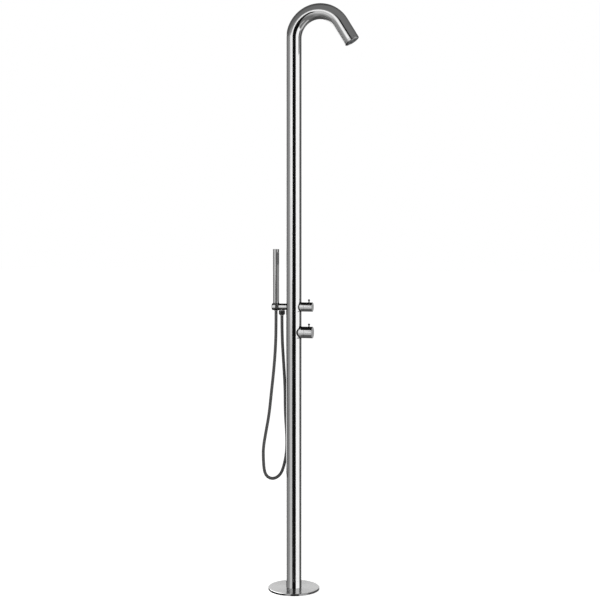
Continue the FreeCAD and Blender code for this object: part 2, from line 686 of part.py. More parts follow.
def make_inner_hoses():
    base = "collar_height + inlet_top"
    for side, across in INLETS.items():
        top = "mixer_height - mixer_block_half - tail_length"
        hose = turned(
            side + "_supply_hose",
            [
                ("tail_bore", "0"),
                ("inner_hose_radius", "0"),
                ("inner_hose_radius", f"{top} - ({base})"),
                ("tail_bore", f"{top} - ({base})"),
            ],
        )
        keep(place(hose, ("0", across, base)), side + "_supply_hose")

    start = "diverter_height + diverter_block_half + tail_length"
    tail = "outlet_straight - head_plug - tail_length"
    riser = bent_pipe("riser_hose", ("inner_hose_radius", "tail_bore"), start, tail)
    keep(place(riser, ("0", "0", start)), "riser_hose")

    nuts = []
    below = f"{base} - tail_length"
    above = "mixer_height - mixer_block_half"
    for side, across in INLETS.items():
        nuts.append(hose_nut(side + "_lower_nut", ("0", across, below)))
        nuts.append(hose_nut(side + "_upper_nut", ("0", across, above), FreeCAD.Vector(1, 0, 0), "180"))
    nuts.append(hose_nut("riser_lower_nut", ("0", "0", "diverter_height + diverter_block_half")))
    head = outlet_point("-head_plug")
    nuts.append(hose_nut("riser_upper_nut", head, axis=FreeCAD.Vector(0, 1, 0), angle="arch_angle + 180"))
    group("hose_nuts", nuts)


def hose_nut(name, point, axis=UP, angle="0"):
    """A union nut: wide over a threaded tail, narrow round the hose."""
    blank = hexagon(name + "_blank", "hose_nut_radius", "hose_nut_height", ("0", "0", "0"))
    depth = "hose_nut_height - hose_nut_lip"
    thread = cylinder(name + "_thread", "tail_radius + seat_gap", depth, ("0", "0", "0"))
    eye = cylinder(name + "_eye", "inner_hose_radius + seat_gap", "hose_nut_height", ("0", "0", "0"))
    return place(cut(name, blank, [thread, eye]), point, axis, angle)


def outlet_point(beyond):
    """The point on the outlet's axis at a distance beyond the tube's end."""
    reach = f"(outlet_straight + ({beyond}))"
    across = f"arch_radius * (1 - cos(arch_angle)) + {reach} * sin(arch_angle)"
    height = f"post_straight + arch_radius * sin(arch_angle) + {reach} * cos(arch_angle)"
    return across, "0", height


# The two valves


def make_valve_block(valve):
    """A block in the post with a neck through its wall and a cavity for the cartridge."""
    block = "post_radius - post_wall - block_gap"
    half = f"{valve}_block_half"
    body = turned(
        valve + "_body",
        [("0", f"-{half}"), (block, f"-{half}"), (block, half), ("0", half)],
    )
    boss(body, valve + "_neck", valve + "_neck", "neck_end", ("0", "0", "0"), (1, 0, 0))
    hollow_out(body, valve, "cavity")
    return body


def hollow_out(body, valve, name):
    """Cuts the cartridge's cavity into a valve block, from its neck's end."""
    depth = "neck_end - cavity_start"
    drill(body, f"{valve}_{name}", valve + "_cavity", depth, ("cavity_start", "0", "0"), (1, 0, 0))


def port(body, name, radius, across, height, back="0"):
    """A duct from the cavity's floor back to a distance from the post's axis."""
    length = f"cavity_start + overcut - ({back})"
    drill(body, name, radius, length, (back, across, height), (1, 0, 0))


def duct(body, name, across, start, length, towards):
    drill(body, name, "duct_radius", length, ("0", across, start), towards)


def link_socket(body, name, end, inwards):
    """The socket for the pipe between the valves, with a mouth for its O-ring."""
    radius = "link_radius + seat_gap"
    mouth = "link_radius + 2 * ring_section + 2 * seat_gap"
    drill(body, name, radius, "link_depth", ("0", "0", end), inwards)
    drill(body, name + "_mouth", mouth, "2 * ring_section + seat_gap", ("0", "0", end), inwards)


def make_mixer_body():
    body = make_valve_block("mixer")
    half = "mixer_block_half"
    for side, across in INLETS.items():
        sign = -1 if side == "cold" else 1
        tail = ("0", across, f"-{half} - tail_length")
        boss(body, side + "_tail", "tail_radius", "tail_length + overcut", tail, UP)
        rise = f"{half} + tail_length - mixer_inlet_drop + mixer_port_radius + duct_overrun"
        duct(body, side + "_duct", across, f"-{half} - tail_length", rise, UP)
        port(body, side + "_port", "mixer_port_radius", f"{sign} * mixer_inlet_port", "-mixer_inlet_drop")
    port(body, "outlet_port", "mixer_port_radius", "0", "mixer_outlet_rise")
    outlet = f"{half} - mixer_outlet_rise + mixer_port_radius + duct_overrun"
    duct(body, "outlet_duct", "0", half, outlet, -UP)
    link_socket(body, "outlet_socket", half, -UP)
    keep(place(body, ("0", "0", "mixer_height")), "mixer_body")


def make_diverter_body():
    body = make_valve_block("diverter")
    half = "diverter_block_half"
    boss(body, "spigot", "pipe_thread", "spigot_end", ("0", "0", "0"), (-1, 0, 0))
    hollow_out(body, "diverter", "cavity_front")
    riser_tail = ("0", "0", f"{half} - overcut")
    boss(body, "riser_tail", "tail_radius", "tail_length + overcut", riser_tail, UP)
    reach = "diverter_port_radius + duct_overrun - diverter_port"
    duct(body, "riser_duct", "0", f"{half} + tail_length", f"{half} + tail_length + {reach}", -UP)
    duct(body, "inlet_duct", "0", f"-{half}", f"{half} + {reach}", UP)
    port(body, "riser_port", "diverter_port_radius", "0", "diverter_port")
    port(body, "inlet_port", "diverter_port_radius", "0", "-diverter_port")
    port(body, "hand_port", "diverter_port_radius", "hand_port", "0", back="-hand_port_end")
    spigot_depth = "spigot_end - hand_port_end + overcut"
    drill(body, "spigot_bore", "spigot_bore", spigot_depth, ("-spigot_end", "0", "0"), (1, 0, 0))
    link_socket(body, "inlet_socket", f"-{half}", UP)
    keep(place(body, ("0", "0", "diverter_height")), "diverter_body")


def ported_disc(valve, name, radius, thickness, start):
    """A disc across the cartridge with the valve's three ports through it."""
    end = f"({start}) + {thickness}"
    disc = turned(name, [("0", start), (radius, start), (radius, end), ("0", end)], axis="X")
    if valve == "mixer":
        spots = [("mixer_inlet_port", "-mixer_inlet_drop"), ("-mixer_inlet_port", "-mixer_inlet_drop")]
        spots.append(("0", "mixer_outlet_rise"))
    else:
        spots = [("0", "diverter_port"), ("0", "-diverter_port"), ("hand_port", "0")]
    for number, (across, height) in enumerate(spots):
        port_radius = valve + "_port_radius - disc_port_gap"
        drill(disc, f"{name}_port_{number}", port_radius, thickness, (start, across, height), (1, 0, 0))
    return keep(place(disc, ("0", "0", valve + "_height")), name)


def make_cartridge(valve):
    """Seal, shell, two ceramic discs, spindle and nut, from the cavity's floor outwards."""
    height = ("0", "0", valve + "_height")
    shell = valve + "_cavity - seat_gap"
    bore = valve + "_shell_bore"
    pad_end = "cavity_start + seal_pad"
    disc_end = f"{pad_end} + disc_thickness"
    nut_start = "neck_end - nut_thickness"
    ported_disc(valve, valve + "_base_seal", f"{shell} - seal_pad_gap", "seal_pad", "cavity_start")
    ported_disc(valve, valve + "_fixed_disc", f"{bore} - seat_gap", "disc_thickness", pad_end)

    case = turned(
        valve + "_cartridge_shell",
        [
            (bore, pad_end),
            (shell, pad_end),
            (shell, nut_start),
            ("spindle_radius + running_gap", nut_start),
            ("spindle_radius + running_gap", f"{nut_start} - shell_front"),
            (bore, f"{nut_start} - shell_front"),
        ],
        axis="X",
    )
    keep(place(case, height), valve + "_cartridge_shell")

    moving_start = f"{disc_end} + running_gap"
    moving_end = f"{moving_start} + moving_disc_thickness"
    moving_radius = f"{bore} - moving_disc_gap"
    moving = turned(
        valve + "_moving_disc",
        [("0", moving_start), (moving_radius, moving_start), (moving_radius, moving_end), ("0", moving_end)],
        axis="X",
    )
    channel = (moving_start, "0", "channel_offset")
    drill(moving, valve + "_channel", "channel_radius", "channel_depth", channel, (1, 0, 0))
    keep(place(moving, height), valve + "_moving_disc")

    foot_end = f"{moving_end} + carrier_thickness"
    spindle = turned(
        valve + "_spindle",
        [
            ("0", moving_end),
            (moving_radius, moving_end),
            (moving_radius, foot_end),
            ("spindle_radius", foot_end),
            ("spindle_radius", "spindle_end - spindle_chamfer"),
            ("spindle_radius - spindle_chamfer", "spindle_end"),
            ("0", "spindle_end"),
        ],
        axis="X",
    )
    keep(place(spindle, height), valve + "_spindle")

    nut_radius = valve + "_cavity - seat_gap"
    nut = turned(
        valve + "_retaining_nut",
        [
            ("nut_bore", nut_start),
            (nut_radius, nut_start),
            (nut_radius, "neck_end"),
            ("nut_bore", "neck_end"),
        ],
        axis="X",
    )
    keep(place(nut, height), valve + "_retaining_nut")


def make_collar(valve):
    """The fixed collar screws on the neck and seats on the post's curve."""
    inside = valve + "_neck + seat_gap"
    outside = valve + "_knob_radius"
    collar = turned(
        valve + "_collar",
        [
            (inside, "collar_start"),
            (outside, "collar_start"),
            (outside, "collar_end - seam_chamfer"),
            (f"{outside} - seam_chamfer", "collar_end"),
            ("collar_web_bore", "collar_end"),
            ("collar_web_bore", "neck_end + running_gap"),
            (inside, "neck_end + running_gap"),
        ],
        axis="X",
    )
    saddle(collar, valve + "_collar_saddle")
    keep(place(collar, ("0", "0", valve + "_height")), valve + "_collar")


def make_knob(valve):
    """The knob on the spindle, with its lever pin and the grub screw that locks it."""
    height = ("0", "0", valve + "_height")
    outside = valve + "_knob_radius"
    socket = "spindle_radius + running_gap"
    knob = turned(
        valve + "_knob",
        [
            (socket, "knob_start"),
            (f"{outside} - seam_chamfer", "knob_start"),
            (outside, "knob_start + seam_chamfer"),
            (outside, "knob_end"),
            ("0", "knob_end"),
            ("0", "spindle_end + running_gap"),
            (socket, "spindle_end + running_gap"),
        ],
        axis="X",
    )
    round_off(knob, valve + "_knob_round", "knob_edge", outside, "knob_end", axis="X")
    lever_foot = f"{outside} - lever_depth"
    lever_hole = ("lever_position", "0", lever_foot)
    lever_hole_depth = "lever_depth + overcut"
    drill(knob, valve + "_lever_hole", "lever_radius + running_gap", lever_hole_depth, lever_hole, UP)
    drill(knob, valve + "_grub_hole", "grub_radius + running_gap", outside, ("grub_position", "0", "0"), -UP)
    keep(place(knob, height), valve + "_knob")

    stem_top = f"{outside} + lever_rise"
    tip_top = f"{stem_top} + lever_tip_height"
    lever = turned(
        valve + "_lever_pin",
        [
            ("0", lever_foot),
            ("lever_radius", lever_foot),
            ("lever_radius", stem_top),
            ("lever_tip_radius", stem_top),
            ("lever_tip_radius", tip_top),
            ("0", tip_top),
        ],
    )
    round_off(lever, valve + "_tip_top", "lever_tip_top_round", "lever_tip_radius", tip_top)
    round_off(lever, valve + "_tip_foot", "lever_tip_foot_round", "lever_tip_radius", stem_top)
    keep(place(lever, ("lever_position", "0", valve + "_height")), valve + "_lever_pin")

    grub_top = "-spindle_radius - 2 * running_gap"
    grub = turned(
        valve + "_grub_screw",
        [
            ("0", f"{grub_top} - grub_length"),
            ("grub_radius", f"{grub_top} - grub_length"),
            ("grub_radius", f"{grub_top} - thread_chamfer"),
            ("grub_radius - thread_chamfer", grub_top),
            ("0", grub_top),
        ],
    )
    socket_point = ("0", "0", f"{grub_top} - grub_length")
    shaped(
        grub,
        "SubtractivePrism",
        valve + "_grub_socket",
        socket_point,
        Circumradius="grub_socket",
        Height="grub_socket_depth",
    )
    keep(place(grub, ("grub_position", "0", valve + "_height")), valve + "_grub_screw")


def make_link():
    """The pipe from the mixer up to the diverter, and its O-rings."""
    start = "mixer_height + mixer_block_half - link_depth"
    end = "diverter_height - diverter_block_half + link_depth"
    pipe = turned(
        "link_pipe",
        [
            ("link_bore", "link_end_gap"),
            ("link_radius", "link_end_gap"),
            ("link_radius", f"{end} - ({start}) - link_end_gap"),
            ("link_bore", f"{end} - ({start}) - link_end_gap"),
        ],
    )
    keep(place(pipe, ("0", "0", start)), "link_pipe")
    rings = []
    inset = "ring_section + seat_gap"
    for valve, height in (
        ("mixer", f"mixer_height + mixer_block_half - ({inset})"),
        ("diverter", f"diverter_height - diverter_block_half + {inset}"),
    ):
        ring = doc.addObject("Part::Torus", valve + "_link_ring")
        bind(ring, Radius1="link_radius + seat_gap + ring_section", Radius2="ring_section")
        bind_point(ring, "Placement", ("0", "0", height))
        rings.append(ring)
    group("link_rings", rings)


# The arm, the hose outlet under it and the handset holder


def make_arm():
    thread = "pipe_thread + seat_gap"
    thread_end = "-spigot_end - spigot_end_gap"
    stud_end = "-arm_end + stud_length + stud_end_gap"
    arm = turned(
        "holder_arm",
        [
            (thread, "-collar_start"),
            ("arm_radius", "-collar_start"),
            ("arm_radius", "-arm_end + arm_chamfer"),
            ("arm_radius - arm_chamfer", "-arm_end"),
            ("stud_radius + seat_gap", "-arm_end"),
            ("stud_radius + seat_gap", stud_end),
            ("0", stud_end),
            ("0", "-arm_bore_end"),
            ("spigot_bore", "-arm_bore_end"),
            ("spigot_bore", thread_end),
            (thread, thread_end),
        ],
        axis="X",
    )
    saddle(arm, "arm_saddle")
    outlet = ("-hose_outlet_reach", "0", "0")
    drill(arm, "outlet_hole", "spigot_bore + seat_gap", "arm_radius + overcut", outlet, -UP)
    keep(place(arm, ("0", "0", "diverter_height")), "holder_arm")


def make_holder():
    start = "-arm_end - holder_seam"
    head = turned(
        "holder_head",
        [
            ("0", "-arm_end + stud_length"),
            ("stud_radius", "-arm_end + stud_length"),
            ("stud_radius", start),
            ("holder_radius - arm_chamfer", start),
            ("holder_radius", f"{start} - arm_chamfer"),
            ("holder_radius", "-holder_end"),
            ("0", "-holder_end"),
        ],
        axis="X",
    )
    round_off(head, "holder_round", "holder_round", "holder_radius", "-holder_end", axis="X")
    shaped(
        head,
        "SubtractiveCone",
        "cradle",
        ("-handset_reach", "0", "-holder_half"),
        Radius1="cone_bottom + cone_gap",
        Radius2="cone_top + cone_gap",
        Height="2 * holder_half",
    )
    corner = (
        "-handset_reach + slot_width / 2 * sin(slot_angle)",
        "-slot_width / 2 * cos(slot_angle)",
        "-holder_half - overcut",
    )
    slot = shaped(
        head,
        "SubtractiveBox",
        "slot",
        corner,
        Length="slot_reach",
        Width="slot_width",
        Height="2 * (holder_half + overcut)",
    )
    slot_turn = FreeCAD.Rotation(UP, value("slot_angle"))
    slot.AttachmentOffset = FreeCAD.Placement(FreeCAD.Vector(), slot_turn)
    bind_point(slot, "AttachmentOffset", corner)
    bind(slot, AttachmentOffset__Rotation__Angle="slot_angle")
    keep(place(head, ("0", "0", "diverter_height")), "holder_head")


def washer(name, radius, top):
    """A hose washer whose top lies at a height."""
    low = f"({top}) - washer_thickness"
    return turned(name, [("washer_bore", low), (radius, low), (radius, top), ("washer_bore", top)])


def ferrule(name, flange_radius, top, length):
    """The end of the shower hose: a flange that the nut pulls up, and a sleeve below it."""
    step = f"({top}) - ferrule_flange"
    return turned(
        name,
        [
            ("ferrule_bore", f"({top}) - ({length})"),
            ("ferrule_radius", f"({top}) - ({length})"),
            ("ferrule_radius", step),
            (flange_radius, step),
            (flange_radius, top),
            ("ferrule_bore", top),
        ],
    )


def make_hose_outlet():
    point = ("-hose_outlet_reach", "0", "diverter_height")
    shoulder = "-arm_radius - seat_gap"
    end = f"{shoulder} - nipple_length"
    nipple = turned(
        "outlet_nipple",
        [
            ("ferrule_bore", end),
            ("pipe_thread", end),
            ("pipe_thread", shoulder),
            ("spigot_bore", shoulder),
            ("spigot_bore", f"{shoulder} + nipple_stub"),
            ("ferrule_bore", f"{shoulder} + nipple_stub"),
        ],
    )
    keep(place(nipple, point), "outlet_nipple")
    keep(place(washer("outlet_washer", "pipe_thread - washer_inset", end), point), "outlet_washer")
    flange_top = f"{end} - washer_thickness"
    length = "ferrule_flange + outlet_ferrule_length"
    tip = ferrule("outlet_ferrule", "pipe_thread - washer_inset", flange_top, length)
    keep(place(tip, point), "outlet_ferrule")

    top = "-outlet_nut_start"
    floor = f"{flange_top} - ferrule_flange"
    low = f"{floor} - outlet_nut_lip"
    nut = turned(
        "outlet_nut",
        [
            ("pipe_thread + running_gap", top),
            ("outlet_nut_radius - outlet_nut_chamfer", top),
            ("outlet_nut_radius", f"{top} - outlet_nut_chamfer"),
            ("outlet_nut_radius", f"{low} + outlet_nut_taper"),
            ("outlet_nut_neck", low),
            ("ferrule_radius + running_gap", low),
            ("ferrule_radius + running_gap", floor),
            ("pipe_thread + running_gap", floor),
        ],
    )
    keep(place(nut, point), "outlet_nut")


# The shower hose, which hangs free between the outlet and the cone nut


def arc_radius(before, corner, after):
    """The radius of the arc that rounds a corner of the route."""
    first = corner - before
    second = after - corner
    half_turn = first.getAngle(second) / 2
    return ARC_SHARE * min(first.Length, second.Length) / math.tan(half_turn)


def hose_path(route):
    """Straight runs joined by tangent arcs. Prints the radius of each arc."""
    edges = []
    radii = []
    start = route[0]
    for before, corner, after in zip(route, route[1:], route[2:]):
        to_corner = (corner - before).normalize()
        from_corner = (after - corner).normalize()
        half_turn = to_corner.getAngle(from_corner) / 2
        radius = arc_radius(before, corner, after)
        tangent = radius * math.tan(half_turn)
        first = corner - to_corner * tangent
        last = corner + from_corner * tangent
        inwards = (from_corner - to_corner).normalize()
        middle = corner + inwards * (radius / math.cos(half_turn) - radius)
        edges.append(Part.LineSegment(start, first).toShape())
        edges.append(Part.Arc(first, middle, last).toShape())
        radii.append(radius)
        start = last
    edges.append(Part.LineSegment(start, route[-1]).toShape())
    print("hose arc radii, mm:", " ".join(f"{radius:.0f}" for radius in radii))
    return Part.Wire(edges)


def make_shower_hose():
    """A plain round hose along the route, whose two ends are set by the ferrules."""
    route = [FreeCAD.Vector(*point) for point in HOSE_ROUTE]
    nipple_end = "diverter_height - arm_radius - seat_gap - nipple_length"
    start = f"{nipple_end} - washer_thickness - ferrule_flange - outlet_ferrule_length"
    end = "diverter_height - holder_half - cone_ferrule_drop"
    route[0] = FreeCAD.Vector(-value("hose_outlet_reach"), 0, value(start))
    route[-1] = FreeCAD.Vector(-value("handset_reach"), 0, value(end))
    path = hose_path(route)
    radius = value("hose_radius")
    section = Part.Wire(Part.makeCircle(radius, route[0], route[1] - route[0]))
    hose = doc.addObject("Part::Feature", "shower_hose")
    hose.Shape = path.makePipeShell([section], True, False)
    area = math.pi * radius**2
    print(f"hose length {path.Length:.1f} mm, volume over section times length", end=" ")
    print(f"{hose.Shape.Volume / (area * path.Length):.4f}")
    keep(hose, "shower_hose")


# The cone nut that seats in the holder, and the handset on it


def make_cone():
    point = ("-handset_reach", "0", "diverter_height")
    top = "holder_half"
    thread_floor = "holder_half - cone_thread_depth"
    seat = f"{thread_floor} - washer_thickness - ferrule_flange"
    cone = turned(
        "cone_nut",
        [
            ("pipe_thread + running_gap", top),
            ("cone_top", top),
            ("cone_bottom", "-holder_half"),
            ("ferrule_radius + running_gap", "-holder_half"),
            ("ferrule_radius + running_gap", seat),
            ("cone_flange_radius + seat_gap", seat),
            ("cone_flange_radius + seat_gap", thread_floor),
            ("pipe_thread + running_gap", thread_floor),
        ],
    )
    keep(place(cone, point), "cone_nut")
    keep(place(washer("cone_washer", "cone_flange_radius", thread_floor), point), "cone_washer")
    flange_top = f"{thread_floor} - washer_thickness"
    length = f"{flange_top} + holder_half + cone_ferrule_drop"
    keep(place(ferrule("cone_ferrule", "cone_flange_radius", flange_top, length), point), "cone_ferrule")


def place_handset(thing, name):
    point = ("-handset_reach", "0", "diverter_height")
    return keep(place(thing, point, UP, "handset_turn"), name)


def window_solid(name, gap, depth_start, depth_end):
    """A long hole with round ends, seen along X, from one distance from the stick's axis to another."""
    half = f"(spray_window_width / 2 - ({gap}))"
    middle = "(handset_top - spray_window_top - spray_window_height / 2)"
    span = "(spray_window_height - spray_window_width)"
    length = f"{depth_end} - ({depth_start})"
    solids = [
        cylinder(f"{name}_top", half, length, (depth_start, "0", f"{middle} + {span} / 2"), (1, 0, 0)),
        cylinder(f"{name}_foot", half, length, (depth_start, "0", f"{middle} - {span} / 2"), (1, 0, 0)),
    ]
    box = doc.addObject("Part::Box", name + "_middle")
    bind(box, Length=length, Width=f"2 * {half}", Height=span)
    bind_point(box, "Placement", (depth_start, f"-{half}", f"{middle} - {span} / 2"))
    joined = doc.addObject("Part::MultiFuse", name)
    joined.Shapes = [*solids, box]
    return joined


def nozzle_rods(name, radius, end):
    """The handset's nozzles: three columns, the middle one set half a step lower."""
    rods = []
    middle = "(handset_top - spray_window_top - spray_window_height / 2)"
    rows = count("handset_nozzle_rows")
    for column in (-1, 0, 1):
        for row in range(rows if column else rows - 1):
            step = row - (rows - 1) / 2 if column else row - (rows - 2) / 2
            across = f"{column} * handset_nozzle_pitch"
            height = f"{middle} + {step} * handset_nozzle_pitch"
            rods.append(cylinder(f"{name}_{column + 1}_{row}", radius, end, ("0", across, height), (1, 0, 0)))
    return rods


def make_handset():
    inside = "handset_radius - handset_wall"
    thread_end = "holder_half - cone_thread_depth + seat_gap"
    foot = "handset_foot"
    rim = "handset_top - handset_cap"
    stick = turned(
        "handset_stick",
        [
            ("washer_bore", thread_end),
            ("pipe_thread", thread_end),
            ("pipe_thread", foot),
            ("handset_radius - arm_chamfer", foot),
            ("handset_radius", f"{foot} + arm_chamfer"),
            ("handset_radius", rim),
            (inside, rim),
            (inside, f"{foot} + handset_floor"),
            ("washer_bore", f"{foot} + handset_floor"),
        ],
    )
    stick_with_window = doc.addObject("Part::Cut", "handset_body")
    stick_with_window.Base = stick
    stick_with_window.Tool = window_solid("window", "0", "0", "handset_radius + overcut")
    place_handset(stick_with_window, "handset_body")

    cap = turned(
        "handset_cap",
        [
            ("0", f"{rim} - handset_cap_plug"),
            (f"{inside} - running_gap", f"{rim} - handset_cap_plug"),
            (f"{inside} - running_gap", rim),
            ("handset_radius", rim),
            ("handset_radius", "handset_top"),
            ("0", "handset_top"),
        ],
    )
    round_off(cap, "cap_round", "handset_edge", "handset_radius", "handset_top")
    place_handset(cap, "handset_cap")

    plate_outside = turned(
        "plate_blank",
        [
            (inside, foot),
            ("handset_radius", foot),
            ("handset_radius", rim),
            (inside, rim),
        ],
    )
    plate = doc.addObject("Part::Common", "plate_outline")
    plate.Base = plate_outside
    plate.Tool = window_solid("plate_window", "spray_plate_gap", "0", "handset_radius + overcut")
    holes = nozzle_rods("plate_hole", "handset_nozzle + running_gap", "handset_radius + overcut")
    place_handset(cut("handset_spray_plate", plate, holes), "handset_spray_plate")

    mat_outside = turned(
        "mat_blank",
        [
            (f"{inside} - handset_mat", foot),
            (f"{inside} - running_gap", foot),
            (f"{inside} - running_gap", rim),
            (f"{inside} - handset_mat", rim),
        ],
    )
    backing = doc.addObject("Part::Common", "mat_backing")
    backing.Base = mat_outside
    backing.Tool = window_solid("mat_window", "-handset_mat_lap", "0", "handset_radius")
    core = doc.addObject("Part::Cylinder", "mat_core")
    bind(core, Radius=f"{inside} - handset_mat / 2", Height="handset_length")
    bind_point(core, "Placement", ("0", "0", foot))
    rods = doc.addObject("Part::MultiFuse", "mat_rods")
    rods.Shapes = nozzle_rods("mat_rod", "handset_nozzle", "handset_radius + handset_nozzle_rise")
    nozzles = cut("mat_nozzles", rods, [core])
    mat = doc.addObject("Part::MultiFuse", "handset_nozzle_mat")
    mat.Shapes = [backing, nozzles]
    place_handset(mat, "handset_nozzle_mat")


# The shower head in the arch's end: its own Z axis is the outlet's axis, from the tube's end outwards


def place_head(thing, name):
    return keep(place(thing, outlet_point("0"), FreeCAD.Vector(0, 1, 0), "arch_angle"), name)


def head_rods(name, radius, start, end):
    """The head's nozzles: one in the middle, and rings of six, twelve and so on."""
    rods = [cylinder(f"{name}_0", radius, f"{end} - ({start})", ("0", "0", start))]
    for ring in range(1, count("nozzle_rings") + 1):
        for number in range(6 * ring):
            turn = f"{number} * 360 / {6 * ring}"
            reach = f"{ring} * nozzle_ring_step"
            point = (f"{reach} * cos({turn})", f"{reach} * sin({turn})", start)
            rods.append(cylinder(f"{name}_{ring}_{number}", radius, f"{end} - ({start})", point))
    return rods


def make_head():
    plug = "post_radius - post_wall - head_plug_gap"
    groove = f"{plug} - head_ring_groove"
    back = "-head_plug + head_back"
    floor = "head_rim - head_recess_depth"
    head = turned(
        "head_body",
        [
            ("tail_bore", "-head_plug - tail_length"),
            ("tail_radius", "-head_plug - tail_length"),
            ("tail_radius", "-head_plug"),
            (plug, "-head_plug"),
            (plug, "-head_plug / 2 - head_ring_groove"),
            (groove, "-head_plug / 2 - head_ring_groove"),
            (groove, "-head_plug / 2 + head_ring_groove"),
            (plug, "-head_plug / 2 + head_ring_groove"),
            (plug, "0"),
            ("post_radius - head_seam", "0"),
            ("post_radius", "head_seam"),
            ("post_radius", "head_rim - head_edge"),
            ("post_radius - head_edge", "head_rim"),
            ("head_recess", "head_rim"),
            ("head_recess", floor),
            ("head_chamber", floor),
            ("head_chamber", back),
            ("tail_bore", back),
        ],
    )
    place_head(head, "head_body")

    ring = doc.addObject("Part::Torus", "head_ring")
    section = "head_ring_groove / 2"
    bind(ring, Radius1=f"{groove} + {section} + seat_gap / 2", Radius2=f"{section} - seat_gap / 2")
    ring_point = outlet_point("-head_plug / 2")
    keep(place(ring, ring_point, FreeCAD.Vector(0, 1, 0), "arch_angle"), "head_ring")

    edge = "head_recess - running_gap"
    face = "head_rim - plate_inset"
    top = f"{face} + head_dome"
    inside = f"{floor} + mat_thickness"
    plate_blank = turned(
        "head_plate_blank",
        [
            ("0", inside),
            ("head_chamber - mat_inset", inside),
            ("head_chamber - mat_inset", floor),
            (edge, floor),
            (edge, top),
            ("0", top),
        ],
    )
    ball_radius = f"(({edge}) ^ 2 + head_dome ^ 2) / (2 * head_dome)"
    ball = doc.addObject("Part::Sphere", "head_plate_ball")
    bind(ball, Radius=ball_radius)
    bind_point(ball, "Placement", ("0", "0", f"{top} - {ball_radius}"))
    domed = doc.addObject("Part::Common", "head_plate_domed")
    domed.Base = plate_blank
    domed.Tool = ball
    far = f"{top} + nozzle_rise"
    holes = head_rods("head_hole", "nozzle_radius + running_gap", floor, far)
    place_head(cut("spray_plate", domed, holes), "spray_plate")

    mat_radius = "head_chamber - mat_inset - seat_gap"
    disc = cylinder("head_mat_disc", mat_radius, "mat_thickness - running_gap", ("0", "0", floor))
    mat = doc.addObject("Part::MultiFuse", "nozzle_mat")
    mat.Shapes = [disc, *head_rods("head_nozzle", "nozzle_radius", floor, far)]
    place_head(mat, "nozzle_mat")


def check_and_write():
    """Stops if any object failed or any sub-part has no sound shape, then writes one file for each."""
    doc.recompute()
    for thing in doc.Objects:
        if {"Invalid", "Error"} & set(thing.State):
            raise RuntimeError(f"{thing.Name} failed: {thing.State}")
    for thing in parts:
        if thing.Shape.isNull() or not thing.Shape.isValid() or not thing.Shape.Solids:
            raise RuntimeError(f"{thing.Label} has no sound shape")
    os.makedirs("parts", exist_ok=True)
    for thing in parts:
        thing.Shape.exportStep(f"parts/{thing.Label}.step")
    print(f"{len(parts)} sub-parts written")


make_post()
make_base()
make_inlets()
make_inner_hoses()
make_mixer_body()
make_diverter_body()
for valve_name in ("mixer", "diverter"):
    make_cartridge(valve_name)
    make_collar(valve_name)
    make_knob(valve_name)
make_link()
make_arm()
make_holder()
make_hose_outlet()
make_shower_hose()
make_cone()
make_handset()
make_head()
check_and_write()
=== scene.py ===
import math

import bmesh
import bpy
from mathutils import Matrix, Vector


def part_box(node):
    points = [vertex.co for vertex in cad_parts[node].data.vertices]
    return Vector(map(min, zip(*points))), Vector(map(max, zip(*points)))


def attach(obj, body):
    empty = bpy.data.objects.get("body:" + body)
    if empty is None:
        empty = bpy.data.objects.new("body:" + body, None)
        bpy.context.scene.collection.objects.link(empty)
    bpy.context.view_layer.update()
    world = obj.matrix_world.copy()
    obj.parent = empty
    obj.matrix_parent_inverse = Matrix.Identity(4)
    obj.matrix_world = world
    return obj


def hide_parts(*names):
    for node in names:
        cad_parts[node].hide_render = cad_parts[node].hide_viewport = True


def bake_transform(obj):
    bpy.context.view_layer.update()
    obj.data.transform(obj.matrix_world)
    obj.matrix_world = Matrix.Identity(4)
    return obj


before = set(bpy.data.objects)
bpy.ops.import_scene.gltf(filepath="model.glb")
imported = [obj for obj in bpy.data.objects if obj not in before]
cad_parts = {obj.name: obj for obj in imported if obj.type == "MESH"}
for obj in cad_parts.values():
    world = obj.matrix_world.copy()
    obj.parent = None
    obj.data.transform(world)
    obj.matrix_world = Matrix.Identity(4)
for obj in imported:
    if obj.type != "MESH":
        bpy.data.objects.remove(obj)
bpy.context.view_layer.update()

# An outdoor shower post: a bent steel tube with a fixed head in its end, two knobs, and a stick handset on
# a hose. All lengths are in metres

# The post's axis: a straight, a bend and a straight

POST_RADIUS = 0.030
POST_WALL = 0.002
POST_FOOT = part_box("post_tube")[0].z
BEND_START = 2.146
BEND_RADIUS = 0.100
BEND_ANGLE = math.radians(148.3)
OUTLET_STRAIGHT = 0.0763

# How finely the post is divided, along its three parts and round it

STRAIGHT_STEPS = 24
BEND_STEPS = 90
OUTLET_STEPS = 8
POST_SEGMENTS = 96
POST_CREASE = math.radians(40.0)

# The knobs, the arm and what hangs on it: heights and radii of their axes, and spans along X

MIXER_HEIGHT = 1.012
MIXER_RADIUS = 0.0225
DIVERTER_HEIGHT = 1.111
DIVERTER_RADIUS = 0.018
KNOB_SPAN = (0.03, 0.082)
ARM_RADIUS = 0.0125
ARM_SPAN = (-0.105, -0.03)
HANDSET_X = -0.072
OUTLET_X = -0.048

# The floor cover's rim

COVER_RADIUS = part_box("floor_cover")[1].x
COVER_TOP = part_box("floor_cover")[1].z

# The hose's route, from the outlet's nut to the handset's cone nut

